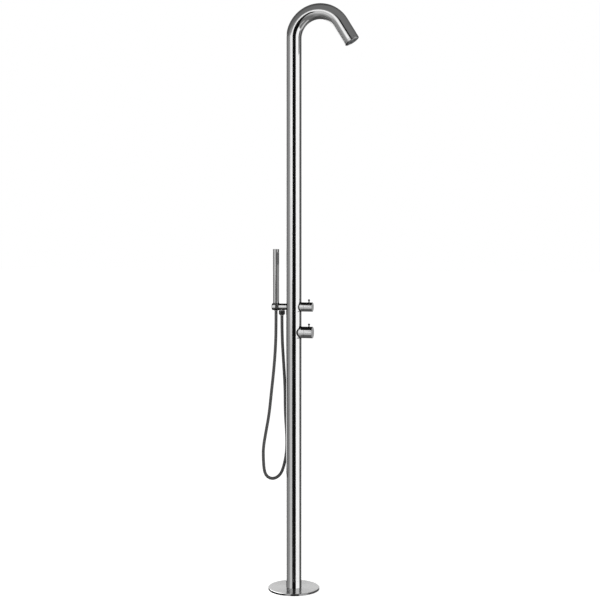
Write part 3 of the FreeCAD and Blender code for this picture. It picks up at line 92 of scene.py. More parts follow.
HOSE_RADIUS = 0.006
HOSE_SEGMENTS = 24
HOSE_TURNS = [2 * math.pi * step / HOSE_SEGMENTS for step in range(HOSE_SEGMENTS)]
HOSE_RESOLUTION = 24
HOSE_ROUTE = [
    (-0.048, 0.000, 1.0770),
    (-0.048, 0.000, 0.9960),
    (-0.044, 0.009, 0.8930),
    (-0.040, 0.017, 0.7940),
    (-0.041, 0.022, 0.6940),
    (-0.036, 0.025, 0.6120),
    (-0.035, 0.024, 0.5530),
    (-0.039, 0.019, 0.5090),
    (-0.049, 0.008, 0.4620),
    (-0.062, -0.005, 0.4425),
    (-0.079, -0.022, 0.4360),
    (-0.096, -0.038, 0.4450),
    (-0.106, -0.049, 0.4670),
    (-0.109, -0.053, 0.5150),
    (-0.109, -0.053, 0.5650),
    (-0.100, -0.047, 0.6240),
    (-0.089, -0.039, 0.6940),
    (-0.083, -0.030, 0.7740),
    (-0.076, -0.020, 0.8600),
    (-0.072, -0.010, 0.9430),
    (-0.072, 0.000, 1.0190),
    (-0.072, 0.000, 1.0955),
]


# Shader nodes


class Nodes:
    """The node tree of a material or of the world."""

    def __init__(self, owner):
        owner.use_nodes = True
        self.tree = owner.node_tree

    def fill(self, socket, value):
        """Sets a number, or links another node's output."""
        if isinstance(value, bpy.types.NodeSocket):
            self.tree.links.new(value, socket)
        else:
            socket.default_value = value

    def node(self, kind, *values, **settings):
        """A node whose first inputs take the values and whose settings are given by name."""
        made = self.tree.nodes.new(kind)
        for key, value in settings.items():
            setattr(made, key, value)
        for socket, value in zip(made.inputs, values):
            self.fill(socket, value)
        return made

    def math(self, operation, *values):
        return self.node("ShaderNodeMath", *values, operation=operation).outputs[0]

    def choice(self, share, first, second):
        """The first shader where the share is 0 and the second where it is 1."""
        return self.node("ShaderNodeMixShader", share, first, second).outputs[0]


class Shader(Nodes):
    """A material's node tree with a Principled shader at its end."""

    def __init__(self, name, colour, metallic, roughness):
        self.material = bpy.data.materials.new(name)
        super().__init__(self.material)
        self.material.diffuse_color = (*colour, 1.0)
        self.principled = self.tree.nodes["Principled BSDF"]
        self.set("Base Color", (*colour, 1.0))
        self.set("Metallic", metallic)
        self.set("Roughness", roughness)

    def set(self, socket, value):
        self.fill(self.principled.inputs[socket], value)

    def combine(self, x, y, z):
        return self.node("ShaderNodeCombineXYZ", x, y, z).outputs[0]

    def parts(self, vector):
        """The x, y and z of a vector."""
        return self.node("ShaderNodeSeparateXYZ", vector).outputs

    def place(self):
        """The point that is shaded."""
        return self.node("ShaderNodeTexCoord").outputs["Object"]

    def along(self):
        """The mesh's own map of the way round a tube and the length along it."""
        return self.parts(self.node("ShaderNodeUVMap", uv_map="along").outputs[0])

    def noise(self, vector, scale, detail=4.0):
        made = self.node("ShaderNodeTexNoise")
        self.fill(made.inputs["Vector"], vector)
        made.inputs["Scale"].default_value = scale
        made.inputs["Detail"].default_value = detail
        made.inputs["Roughness"].default_value = 0.6
        return made.outputs["Fac"]

    def layered(self, fine, broad, share):
        """A share of the broad marks over the rest of the fine ones."""
        return self.math("ADD", self.math("MULTIPLY", fine, 1.0 - share), self.math("MULTIPLY", broad, share))

    def span(self, value, low, high, start=0.0, end=1.0):
        """Maps start..end of a value to low..high."""
        made = self.node("ShaderNodeMapRange", value, start, end, low, high)
        return made.outputs["Result"]

    def ramp(self, value, stops):
        """Colours along a value: stops are (place, colour)."""
        made = self.node("ShaderNodeValToRGB", value)
        elements = made.color_ramp.elements
        while len(elements) < len(stops):
            elements.new(0.5)
        for element, (spot, colour) in zip(elements, stops):
            element.position = spot
            element.color = (*colour, 1.0)
        return made.outputs["Color"]

    def tone(self, grain, colour, darker, lighter):
        """The colour, darker where the grain is low and lighter where it is high."""
        dark = tuple(part * darker for part in colour)
        light = tuple(min(1.0, part * lighter) for part in colour)
        self.set("Base Color", self.ramp(grain, [(0.3, dark), (0.7, light)]))

    def handled(self, roughness, change):
        """A roughness with the slow changes that handling and weather leave."""
        slow = self.noise(self.place(), scale=14.0, detail=5.0)
        self.set("Roughness", self.math("ADD", roughness, self.span(slow, *change, 0.3, 0.7)))

    def bump(self, height, depth, below=None):
        """A bump of a depth, laid over another where below is given."""
        made = self.node("ShaderNodeBump")
        made.inputs["Strength"].default_value = 1.0
        made.inputs["Distance"].default_value = depth
        self.fill(made.inputs["Height"], height)
        if below is not None:
            self.fill(made.inputs["Normal"], below)
        return made.outputs["Normal"]


# Materials

BLACK = (0.0, 0.0, 0.0, 1.0)
BRASS = (0.72, 0.58, 0.32)
CERAMIC = (0.9, 0.9, 0.88)
SILICONE = (0.25, 0.26, 0.27)
PLASTIC = (0.8, 0.8, 0.78)


def grey(level):
    return (level, level, level)


def around(shader, axis, centre):
    """Distance along an axis, distance from it and turn about it, of the point that is shaded."""
    shifted = shader.node("ShaderNodeVectorMath", shader.place(), centre, operation="SUBTRACT").outputs[0]
    x, y, z = shader.parts(shifted)
    along, first, second = {"X": (x, y, z), "Z": (z, x, y)}[axis]
    squares = [shader.math("MULTIPLY", part, part) for part in (first, second)]
    distance = shader.math("SQRT", shader.math("ADD", *squares))
    direction = {"X": (1.0, 0.0, 0.0), "Z": (0.0, 0.0, 1.0)}[axis]
    sideways = shader.node("ShaderNodeVectorMath", shifted, direction, operation="CROSS_PRODUCT").outputs[0]
    shader.set("Tangent", sideways)
    return along, distance, shader.math("ARCTAN2", second, first)


def turned_steel(name, axis, centre, colour, roughness=0.15, pitch=0.0006, depth=0.000001, stretch=0.5):
    """Steel with fine marks that run round an axis, as a lathe or a belt leaves them."""
    shader = Shader(name, grey(colour), 1.0, roughness)
    shader.set("Anisotropic", stretch)
    shader.set("Anisotropic Rotation", 0.25)
    along, distance, turn = around(shader, axis, centre)
    drift = 0.0008
    marks = shader.combine(along, distance, shader.math("MULTIPLY", turn, drift))
    fine = shader.noise(marks, scale=1.0 / pitch, detail=3.0)
    broad = shader.noise(marks, scale=0.12 / pitch, detail=2.0)
    grain = shader.layered(fine, broad, share=0.4)
    shader.handled(shader.span(grain, roughness - 0.03, roughness + 0.04), change=(-0.02, 0.03))
    shader.tone(grain, grey(colour), darker=0.95, lighter=1.03)
    shader.set("Normal", shader.bump(grain, depth))
    return shader.material


def brushed_steel(name, colour=0.6, roughness=0.1):
    """The post's satin steel: fine lines along the tube, and a fine speckle over them."""
    shader = Shader(name, grey(colour), 1.0, roughness)
    x, y, z = shader.along()
    stretched = 0.02
    lines = shader.combine(x, shader.math("MULTIPLY", y, stretched), z)
    fine = shader.noise(lines, scale=2500.0, detail=3.0)
    broad = shader.noise(lines, scale=260.0, detail=3.0)
    speck = shader.noise(shader.place(), scale=900.0, detail=3.0)
    grain = shader.layered(fine, broad, share=0.5)
    shader.tone(grain, grey(colour), darker=0.9, lighter=1.06)
    level = shader.span(speck, roughness - 0.015, roughness + 0.02, 0.35, 0.65)
    shader.handled(level, change=(-0.02, 0.02))
    below = shader.bump(speck, depth=0.0000005)
    shader.set("Normal", shader.bump(grain, depth=0.000001, below=below))
    return shader.material


def plain_metal(name, colour, roughness, tint=None):
    """Machined metal with a fine even grain. A tint changes what its edges mirror."""
    shader = Shader(name, colour, 1.0, roughness)
    grain = shader.noise(shader.place(), scale=700.0, detail=5.0)
    shader.tone(grain, colour, darker=0.85, lighter=1.08)
    shader.handled(shader.span(grain, roughness - 0.05, roughness + 0.08), change=(-0.02, 0.02))
    shader.set("Normal", shader.bump(grain, depth=0.000004))
    if tint is not None:
        shader.set("Specular Tint", tint)
    return shader.material


def moulded(name, colour, roughness, scale, depth, contrast=0.12):
    """Rubber, silicone, plastic or ceramic with a fine moulded or lapped surface."""
    shader = Shader(name, colour, 0.0, roughness)
    grain = shader.noise(shader.place(), scale)
    shader.tone(grain, colour, darker=1 - contrast, lighter=1 + contrast)
    shader.set("Roughness", shader.span(grain, roughness - 0.06, roughness + 0.08, 0.3, 0.7))
    shader.set("Normal", shader.bump(grain, depth))
    return shader.material


def braid(name):
    """Two sets of steel strands that cross at a slant, over rubber."""
    shader = Shader(name, grey(0.45), 0.8, 0.35)
    x, y, z = shader.parts(shader.place())
    turn = shader.math("ARCTAN2", y, x)
    strands_round = 12.0
    climb = 700.0
    strands = []
    for slope in (climb, -climb):
        slant = shader.math("MULTIPLY_ADD", z, slope, shader.math("MULTIPLY", turn, strands_round))
        strands.append(shader.math("SINE", slant))
    weave = shader.math("MAXIMUM", *strands)
    shader.set("Base Color", shader.ramp(weave, [(0.3, grey(0.12)), (0.8, grey(0.5))]))
    shader.set("Normal", shader.bump(weave, depth=0.0002))
    return shader.material


def hose_skin(name):
    """A smooth dark grey sleeve that shows its spiral lining as faint slanted lines."""
    shader = Shader(name, grey(0.09), 0.5, 0.2)
    x, y, z = shader.along()
    turn_length = 0.003
    climb = shader.math("MULTIPLY", y, 2 * math.pi / turn_length)
    winding = shader.math("SINE", shader.math("MULTIPLY_ADD", x, 2 * math.pi, climb))
    grain = shader.noise(shader.place(), scale=600.0)
    faint = 0.25
    mixed = shader.math("MULTIPLY_ADD", winding, faint, grain)
    shader.set("Base Color", shader.ramp(mixed, [(0.2, grey(0.075)), (0.8, grey(0.13))]))
    shader.set("Roughness", shader.span(mixed, 0.16, 0.26, 0.2, 0.8))
    below = shader.bump(grain, depth=0.00001)
    shader.set("Normal", shader.bump(winding, depth=0.00012, below=below))
    return shader.material


def paint(material, *names):
    for name in names:
        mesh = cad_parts[name].data
        mesh.materials.clear()
        mesh.materials.append(material)


def paint_outside():
    """The pieces that show from outside."""
    mixer = (0.0, 0.0, MIXER_HEIGHT)
    diverter = (0.0, 0.0, DIVERTER_HEIGHT)
    stick = (HANDSET_X, 0.0, 0.0)
    outlet = (OUTLET_X, 0.0, 0.0)
    cover = (0.0, 0.0, 0.0)
    mixer_steel = turned_steel("mixer_steel", "X", mixer, colour=0.56)
    paint(mixer_steel, "mixer_collar", "mixer_knob")
    diverter_steel = turned_steel("diverter_steel", "X", diverter, colour=0.56)
    paint(diverter_steel, "diverter_collar", "diverter_knob", "holder_arm", "holder_head")
    stick_steel = turned_steel(
        "stick_steel", "Z", stick, colour=0.5, roughness=0.12, pitch=0.0012, depth=0.0000005, stretch=0.3
    )
    paint(stick_steel, "handset_body", "handset_cap")
    cone_steel = turned_steel("cone_nut_steel", "Z", stick, colour=0.13, roughness=0.16)
    paint(cone_steel, "cone_nut")
    cover_steel = turned_steel(
        "cover_steel", "Z", cover, colour=0.54, roughness=0.2, pitch=0.0012, depth=0.00002
    )
    paint(cover_steel, "floor_cover")
    nut_steel = turned_steel("nut_steel", "Z", outlet, colour=0.06, roughness=0.16)
    paint(nut_steel, "outlet_nut")
    pin_steel = plain_metal("pin_steel", grey(0.015), roughness=0.2, tint=BLACK)
    paint(pin_steel, "mixer_lever_pin", "diverter_lever_pin")
    paint(plain_metal("polished_steel", grey(0.68), roughness=0.1), "spray_plate")
    paint(plain_metal("spray_steel", grey(0.26), roughness=0.25), "handset_spray_plate")
    paint(plain_metal("head_steel", grey(0.6), roughness=0.2), "head_body")
    silicone = moulded("nozzle_silicone", SILICONE, roughness=0.5, scale=1500.0, depth=0.00002)
    paint(silicone, "nozzle_mat", "handset_nozzle_mat")


def paint_inside():
    """The pieces inside the post and the knobs, under the cover and in the hose's ends."""
    steel = plain_metal("plain_steel", grey(0.55), roughness=0.32)
    paint(steel, "base_flange", "inlet_plate", "plate_screws", "mixer_grub_screw", "diverter_grub_screw")
    paint(steel, "hose_nuts", "inlet_locknuts", "outlet_nipple", "outlet_ferrule", "cone_ferrule")
    brass = plain_metal("machined_brass", BRASS, roughness=0.25)
    paint(brass, "cold_inlet", "hot_inlet", "mixer_body", "diverter_body", "link_pipe")
    ceramic = moulded(
        "lapped_ceramic", CERAMIC, roughness=0.15, scale=900.0, depth=0.000005, contrast=0.03
    )
    rubber = moulded("seal_rubber", grey(0.05), roughness=0.6, scale=1200.0, depth=0.00003)
    paint(rubber, "cover_seal", "link_rings", "outlet_washer", "cone_washer", "head_ring")
    plastic = moulded(
        "cartridge_plastic", PLASTIC, roughness=0.45, scale=800.0, depth=0.00002, contrast=0.05
    )
    paint(plastic, "check_valves")
    for valve in ("mixer", "diverter"):
        paint(brass, f"{valve}_spindle", f"{valve}_retaining_nut")
        paint(ceramic, f"{valve}_fixed_disc", f"{valve}_moving_disc")
        paint(rubber, f"{valve}_base_seal")
        paint(plastic, f"{valve}_cartridge_shell")
    paint(braid("braided_hose"), "cold_supply_hose", "hot_supply_hose", "riser_hose")


# Meshes


def new_object(name, vertices, faces):
    mesh = bpy.data.meshes.new(name)
    mesh.from_pydata(vertices, [], faces)
    mesh.update()
    for polygon in mesh.polygons:
        polygon.use_smooth = True
    made = bpy.data.objects.new(name, mesh)
    bpy.context.scene.collection.objects.link(made)
    return made


def map_along(made, corners):
    """Maps a tube by the way round it and the length along it, given for each corner of each face."""
    layer = made.data.uv_layers.new(name="along")
    for loop, place in zip(layer.data, corners):
        loop.uv = place


def sharpen(made, limit):
    """Keeps edges crisp where faces meet at more than an angle."""
    mesh = made.data
    work = bmesh.new()
    work.from_mesh(mesh)
    bmesh.ops.recalc_face_normals(work, faces=work.faces)
    for edge in work.edges:
        edge.smooth = len(edge.link_faces) == 2 and edge.calc_face_angle() < limit
    work.to_mesh(mesh)
    work.free()


# The post


def post_station(distance):
    """The point and the outward direction of the post's axis at a distance from the bend's start."""
    turned = min(max(distance / BEND_RADIUS, 0.0), BEND_ANGLE)
    outward = Vector((-math.cos(turned), 0.0, math.sin(turned)))
    forward = Vector((math.sin(turned), 0.0, math.cos(turned)))
    centre = Vector((BEND_RADIUS, 0.0, BEND_START))
    beyond = distance - turned * BEND_RADIUS
    return centre + outward * BEND_RADIUS + forward * beyond, outward


def post_stations():
    """Distances along the post from the bend's start: sparse on the straights and close in the bend."""
    foot = POST_FOOT - BEND_START
    arc = BEND_ANGLE * BEND_RADIUS
    below = [foot - foot * step / STRAIGHT_STEPS for step in range(STRAIGHT_STEPS)]
    inside = [arc * step / BEND_STEPS for step in range(BEND_STEPS)]
    beyond = [arc + OUTLET_STRAIGHT * step / OUTLET_STEPS for step in range(OUTLET_STEPS + 1)]
    return below + inside + beyond


def make_post():
    """Rings up the outside of the tube and back down its inside, joined into one closed wall."""
    stations = post_stations()
    distances = stations + stations[::-1]
    radii = [POST_RADIUS] * len(stations) + [POST_RADIUS - POST_WALL] * len(stations)
    turns = [2 * math.pi * step / POST_SEGMENTS for step in range(POST_SEGMENTS + 1)]
    side = Vector((0.0, 1.0, 0.0))
    vertices = []
    for distance, radius in zip(distances, radii):
        middle, outward = post_station(distance)
        for turn in turns[:-1]:
            vertices.append(middle + (outward * math.cos(turn) + side * math.sin(turn)) * radius)
    faces = []
    corners = []
    for ring, low in enumerate(distances):
        following = (ring + 1) % len(distances)
        high = distances[following]
        first = ring * POST_SEGMENTS
        second = following * POST_SEGMENTS
        for step in range(POST_SEGMENTS):
            ahead = (step + 1) % POST_SEGMENTS
            faces.append((first + step, second + step, second + ahead, first + ahead))
            near, far = turns[step] * POST_RADIUS, turns[step + 1] * POST_RADIUS
            corners += [(near, low), (near, high), (far, high), (far, low)]
    post = new_object("post", vertices, faces)
    map_along(post, corners)
    sharpen(post, POST_CREASE)
    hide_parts("post_tube")
    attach(post, "root")
    post.data.materials.append(brushed_steel("post_steel"))


# The hose


def hose_line():
    """The points of the route's smooth spline, in order."""
    curve = bpy.data.curves.new("hose_line", "CURVE")
    curve.dimensions = "3D"
    curve.resolution_u = HOSE_RESOLUTION
    spline = curve.splines.new("NURBS")
    spline.points.add(len(HOSE_ROUTE) - 1)
    for point, place in zip(spline.points, HOSE_ROUTE):
        point.co = (*place, 1.0)
    spline.order_u = 3
    spline.use_endpoint_u = True
    line = bpy.data.objects.new("hose_line", curve)
    mesh = bpy.data.meshes.new_from_object(line)
    points = [vertex.co.copy() for vertex in mesh.vertices]
    bpy.data.objects.remove(line)
    bpy.data.meshes.remove(mesh)
    bpy.data.curves.remove(curve)
    return points


def straight_hose(lengths):
    """The hose as an upright tube with closed ends and a ring at each length."""
    shares = [step / HOSE_SEGMENTS for step in range(HOSE_SEGMENTS + 1)]
    vertices = []
    for length in lengths:
        for turn in HOSE_TURNS:
            vertices.append((math.cos(turn) * HOSE_RADIUS, math.sin(turn) * HOSE_RADIUS, length))
    faces = []
    corners = []
    for ring, (low, high) in enumerate(zip(lengths, lengths[1:])):
        first = ring * HOSE_SEGMENTS
        second = first + HOSE_SEGMENTS
        for step in range(HOSE_SEGMENTS):
            ahead = (step + 1) % HOSE_SEGMENTS
            faces.append((first + step, first + ahead, second + ahead, second + step))
            near, far = shares[step], shares[step + 1]
            corners += [(near, low), (far, low), (far, high), (near, high)]
    last = (len(lengths) - 1) * HOSE_SEGMENTS
    steps = range(HOSE_SEGMENTS)
    faces.append(tuple(reversed(steps)))
    corners += [(shares[step], lengths[0]) for step in reversed(steps)]
    faces.append(tuple(last + step for step in steps))
    corners += [(shares[step], lengths[-1]) for step in steps]
    hose = new_object("hose", vertices, faces)
    map_along(hose, corners)
    return hose


def lay_hose(hose, points):
    """Moves the tube's rings to the points of its line, without a twist between them."""
    side = Vector((0.0, 1.0, 0.0))
    for ring, point in enumerate(points):
        before = points[max(ring - 1, 0)]
        after = points[min(ring + 1, len(points) - 1)]
        forward = (after - before).normalized()
        side = (side - forward * side.dot(forward)).normalized()
        across = side.cross(forward)
        for step, turn in enumerate(HOSE_TURNS):
            offset = (across * math.cos(turn) + side * math.sin(turn)) * HOSE_RADIUS
            hose.data.vertices[ring * HOSE_SEGMENTS + step].co = point + offset
    hose.data.update()


def make_hose():
    """A tube along the spline. Its lift is shared out by length, so it is blended while still straight."""
    points = hose_line()
    lengths = [0.0]
    for before, after in zip(points, points[1:]):
        lengths.append(lengths[-1] + (after - before).length)
    hose = straight_hose(lengths)
    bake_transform(hose)
    lay_hose(hose, points)
    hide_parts("shower_hose")
    hose.data.materials.append(hose_skin("hose_skin"))


# The studio. Turns are in degrees round the post's axis, with 0 at -Y and 90 at +X

CAMERA_TURN = 15.0
CAMERA_TILT = 2.555
CAMERA_DISTANCE = 4.5476
CAMERA_HEIGHT = 1.3406
IMAGE_SIZE = 600
FOCAL_PIXELS = 1169.0
AXIS_PIXEL = 293.815

WHITE = (1.0, 1.0, 1.0, 1.0)
ROOM_LIGHT = 0.6
FLOOR_REACH = 60.0
FLOOR_LEVEL = -0.0005
FLOOR_COLOUR = (0.8, 0.8, 0.8, 1.0)
FLOOR_GLOW = 0.56
LAMP_PLACE = Vector((-1.6, -2.6, 3.6))
LAMP_AIM = Vector((0.0, 0.0, 0.8))
LAMP_SIZE = 2.0
LAMP_POWER = 60.0

# The room behind everything, and the wide cards before it: (name, elevations, [(turn, level)])

CARD_PITCH = 5.0
ROOM_DISTANCE = 30.0
CARD_DISTANCE = 29.0
ROOM_ELEVATIONS = (-90.0, 90.0)
ROOM_LEVELS = [(-180.0, 0.1), (-105.0, 0.12), (-60.0, 0.23), (60.0, 0.25), (105.0, 0.24), (180.0, 0.1)]
WIDE_CARDS = [
    ("card_left", (0.8, 14.0), [(-40.0, 1.5), (-4.5, 1.5)]),
    ("card_left_top", (14.0, 22.0), [(-60.0, 0.4), (-4.5, 0.4)]),
    ("card_left_middle", (-4.3, 0.8), [(-40.0, 1.25), (-10.0, 1.25)]),
    ("card_left_low", (-20.0, -4.3), [(-46.0, 0.86), (-11.0, 0.86)]),
    ("card_left_foot", (-28.0, -20.0), [(-50.0, 0.75), (-30.0, 1.05), (-6.0, 1.05), (14.0, 0.3)]),
    ("card_left_fill", (-28.0, 14.0), [(-100.0, 0.28), (-65.0, 0.4), (-50.0, 0.55)]),
    ("card_left_gap", (-4.3, 14.0), [(-50.0, 0.55), (-40.0, 0.6)]),
    (
        "card_ground_left",
        (-45.0, -28.0),
        [(-75.0, 0.25), (-45.0, 0.5), (-20.0, 0.7), (0.0, 0.5), (16.0, 0.25)],
    ),
    ("card_ground_left_low", (-75.0, -45.0), [(-75.0, 0.15), (-20.0, 0.42), (16.0, 0.2)]),
    ("card_front", (0.8, 26.0), [(-4.5, 0.008), (43.0, 0.008)]),
    ("card_front_low", (-20.0, 0.8), [(-10.0, 0.008), (46.0, 0.008)]),
    ("card_right", (-20.0, 26.0), [(46.0, 1.55), (104.0, 1.55)]),
    ("card_right_fill", (-20.0, 13.0), [(104.0, 0.55), (120.0, 0.2), (135.0, 0.07), (150.0, 0.06)]),
    ("card_right_foot", (-45.0, -20.0), [(38.0, 0.3), (48.0, 0.75), (58.0, 0.35)]),
    ("card_ground_right", (-65.0, -20.0), [(80.0, 0.25), (105.0, 0.95), (118.0, 0.85), (130.0, 0.25)]),
    ("card_back", (4.0, 26.0), [(184.0, 0.95), (208.0, 0.97)]),
    ("card_back_low", (-22.0, 4.0), [(174.0, 0.02), (206.0, 0.02)]),
    ("card_back_left", (-22.0, 16.0), [(208.0, 1.3), (242.0, 1.3)]),
    ("card_back_right", (-22.0, 16.0), [(155.0, 0.44), (173.0, 0.5)]),
]

# What the post's foot and the cover's rim mirror: (turn, level)

FOOT_BANDS = [
    (-165.0, 0.1),
    (-100.0, 0.28),
    (-65.0, 0.4),
    (-47.0, 0.55),
    (-46.0, 0.86),
    (-11.0, 0.86),
    (-10.0, 0.008),
    (46.0, 0.008),
    (47.0, 1.55),
    (104.0, 1.55),
    (105.0, 0.55),
    (120.0, 0.2),
    (135.0, 0.07),
    (195.0, 0.02),
]
RIM_BANDS = [
    (-90.0, 0.0),
    (-8.0, 0.0),
    (-2.0, 0.5),
    (6.0, 0.5),
    (9.0, 0.0),
    (26.0, 0.0),
    (28.0, 0.6),
    (46.0, 0.6),
    (54.0, 0.12),
    (105.0, 0.12),
    (120.0, 0.25),
    (250.0, 0.25),
    (270.0, 0.0),
]
RIM_LINE = [(-80.0, 3.5), (-20.0, 4.5), (-5.0, 0.5)]

# The near cards' places round the post's foot and the cover's rim, and how dark the black ones are

FOOT_LIFT = 0.0005
FOOT_GAP = 0.0005
FOOT_REACH = COVER_RADIUS + 0.004
RIM_NEAR = COVER_RADIUS + 0.0005
RIM_FAR = COVER_RADIUS + 0.006
RIM_LEVEL = -0.0003
RIM_LINE_RADII = (0.116, 0.098)
RIM_LINE_HEIGHT = 0.02
DARK = 0.01

# The seam cards' outer and inner edges: (beyond the collar's radius, beyond the post's wall). These dark
# cards paint shade where a collar meets the post

SEAM_SHADE_EDGES = ((0.004, -0.001), (0.0003, 0.003))

# The flags' gap to their piece, how many radii they reach to the front, and the lower ones' levels at
# their front and back

FLAG_GAP = 0.001
OVER_REACH = 1.35
UNDER_REACH = 1.7
KNOB_UNDER = (0.22, 0.0)
ARM_UNDER = (0.03, 0.01)

# An upright card beside the handset, and one that leans before it, with its lower and upper edge as (y, z)

STICK_CARD_X = -0.047
STICK_CARD_FRONT = -0.045
STICK_CARD_REAR = 0.02
STICK_CARD_SPAN = (1.13, 1.325)
STICK_CARD_LEVEL = 0.42
FRONT_CARD_SPAN = (-0.32, -0.07)
FRONT_CARD_LOWER = (-0.63, 1.2)
FRONT_CARD_UPPER = (-0.378, 1.56)
FRONT_CARD_LEVEL = 1.35


def heading(turn):
    """The level direction at a turn."""
    angle = math.radians(turn)
    return Vector((math.sin(angle), -math.cos(angle), 0.0))


def make_camera():
    data = bpy.data.cameras.new("camera")
    data.sensor_width = 36.0
    data.lens = data.sensor_width * FOCAL_PIXELS / IMAGE_SIZE
    data.shift_x = (IMAGE_SIZE / 2 - AXIS_PIXEL) / IMAGE_SIZE
    data.clip_end = 200.0
    camera = bpy.data.objects.new("camera", data)
    bpy.context.scene.collection.objects.link(camera)
    camera.location = heading(CAMERA_TURN) * CAMERA_DISTANCE + Vector((0.0, 0.0, CAMERA_HEIGHT))
    camera.rotation_euler = (math.radians(90.0 - CAMERA_TILT), 0.0, math.radians(CAMERA_TURN))
    bpy.context.scene.camera = camera


def emptied(owner):
    """The node tree of a material or of the world, with nothing in it."""
    nodes = Nodes(owner)
    nodes.tree.nodes.clear()
    return nodes


def make_floor():
    """Matt white, with a glow to the camera that makes it as white as what is behind it."""
    signs = [(-1, -1), (1, -1), (1, 1), (-1, 1)]
    corners = [(x * FLOOR_REACH, y * FLOOR_REACH, FLOOR_LEVEL) for x, y in signs]
    floor = new_object("floor", corners, [(0, 1, 2, 3)])
    white = bpy.data.materials.new("floor_white")
    nodes = emptied(white)
    matt = nodes.node("ShaderNodeBsdfDiffuse", FLOOR_COLOUR).outputs[0]
    shine = nodes.node("ShaderNodeEmission", WHITE, FLOOR_GLOW).outputs[0]
    both = nodes.node("ShaderNodeAddShader", matt, shine).outputs[0]
    seen = nodes.node("ShaderNodeLightPath").outputs["Is Camera Ray"]
    nodes.node("ShaderNodeOutputMaterial", nodes.choice(seen, matt, both))
    floor.data.materials.append(white)
    floor.visible_glossy = False


def make_world():
    """White to the camera and to reflections, and a soft even light for the rest."""
    world = bpy.data.worlds.new("studio")
    bpy.context.scene.world = world
    nodes = emptied(world)
    rays = nodes.node("ShaderNodeLightPath").outputs
    direct = nodes.math("MAXIMUM", rays["Is Camera Ray"], rays["Is Glossy Ray"])
    seen = nodes.math("MAXIMUM", direct, rays["Is Transmission Ray"])
    shown = nodes.node("ShaderNodeBackground", WHITE, 1.0).outputs[0]
    soft = nodes.node("ShaderNodeBackground", WHITE, ROOM_LIGHT).outputs[0]
    nodes.node("ShaderNodeOutputWorld", nodes.choice(seen, soft, shown))


def make_lamp():
    """One large soft lamp, high on the left of the camera."""
    data = bpy.data.lights.new("key", "AREA")
    data.shape = "RECTANGLE"
    data.size = LAMP_SIZE
    data.size_y = LAMP_SIZE
    data.energy = LAMP_POWER
    lamp = bpy.data.objects.new("key", data)
    bpy.context.scene.collection.objects.link(lamp)
    lamp.location = LAMP_PLACE
    lamp.rotation_euler = (LAMP_AIM - LAMP_PLACE).to_track_quat("-Z", "Y").to_euler()
    lamp.visible_camera = False
    lamp.visible_glossy = False


# The studio's cards, which only reflections see


def card_glow(name):
    """Light as strong as the mesh's own level, on the side that faces out; the other side is clear."""
    made = bpy.data.materials.new(name)
    nodes = emptied(made)
    level = nodes.node("ShaderNodeAttribute", attribute_name="level").outputs["Fac"]
    light = nodes.node("ShaderNodeEmission", WHITE, level).outputs[0]
    clear = nodes.node("ShaderNodeBsdfTransparent").outputs[0]
    behind = nodes.node("ShaderNodeNewGeometry").outputs["Backfacing"]
    nodes.node("ShaderNodeOutputMaterial", nodes.choice(behind, light, clear))
    return made


def card(name, vertices, faces, levels, glow):
    """A card with a level at each vertex."""
    made = new_object(name, vertices, faces)
    attribute = made.data.attributes.new("level", "FLOAT", "POINT")
    for item, level in zip(attribute.data, levels):
        item.value = level
    made.data.materials.append(glow)
    for ray in ("camera", "diffuse", "transmission", "volume_scatter", "shadow"):
        setattr(made, f"visible_{ray}", False)


def spread(stops):
    """Turns and levels from the first stop to the last, no further than the pitch apart."""
    places = []
    for (turn, level), (following, ahead) in zip(stops, stops[1:]):
        steps = max(1, math.ceil((following - turn) / CARD_PITCH))
        for step in range(steps):
            share = step / steps
            places.append((turn + (following - turn) * share, level + (ahead - level) * share))
    places.append(stops[-1])
    return places


def grid_card(name, columns, glow):
    """A card of columns of points, each column with its level."""
    rows = len(columns[0][0]) - 1
    vertices = [point for points, level in columns for point in points]
    levels = [level for points, level in columns for point in points]
    faces = []
    for step in range(len(columns) - 1):
        for row in range(rows):
            first = step * (rows + 1) + row
            second = first + rows + 1
            faces.append((first, first + 1, second + 1, second))
    card(name, vertices, faces, levels, glow)


def wide_card(name, elevations, stops, distance, glow):
    """A part of a wide sphere round the camera's height."""
    low, high = elevations
    rows = max(1, math.ceil((high - low) / CARD_PITCH))
    columns = []
    for turn, level in spread(stops):
        points = []
        for row in range(rows + 1):
            elevation = math.radians(low + (high - low) * row / rows)
            up = Vector((0.0, 0.0, CAMERA_HEIGHT + distance * math.sin(elevation)))
            points.append(heading(turn) * distance * math.cos(elevation) + up)
        columns.append((points, level))
    grid_card(name, columns, glow)


def ring_card(name, start, end, stops, glow):
    """A strip round the post's axis between two (radius, height) lines."""
    columns = []
    for turn, level in spread(stops):
        points = [heading(turn) * radius + Vector((0.0, 0.0, height)) for radius, height in (start, end)]
        columns.append((points, level))
    grid_card(name, columns, glow)


def make_foot_card(glow):
    """Lies over the cover, so that the bands which the post mirrors run on down to its foot."""
    up = Vector((0.0, 0.0, COVER_TOP + FOOT_LIFT))
    columns = []
    for turn, level in spread(FOOT_BANDS):
        facing = (turn + CAMERA_TURN) / 2
        slant = math.radians(turn - facing)
        half_chord = math.sqrt(FOOT_REACH**2 - (POST_RADIUS * math.sin(slant)) ** 2)
        length = half_chord - POST_RADIUS * math.cos(slant)
        start = heading(facing) * POST_RADIUS + up
        columns.append(([start + heading(turn) * FOOT_GAP, start + heading(turn) * length], level))
    grid_card("card_foot", columns, glow)


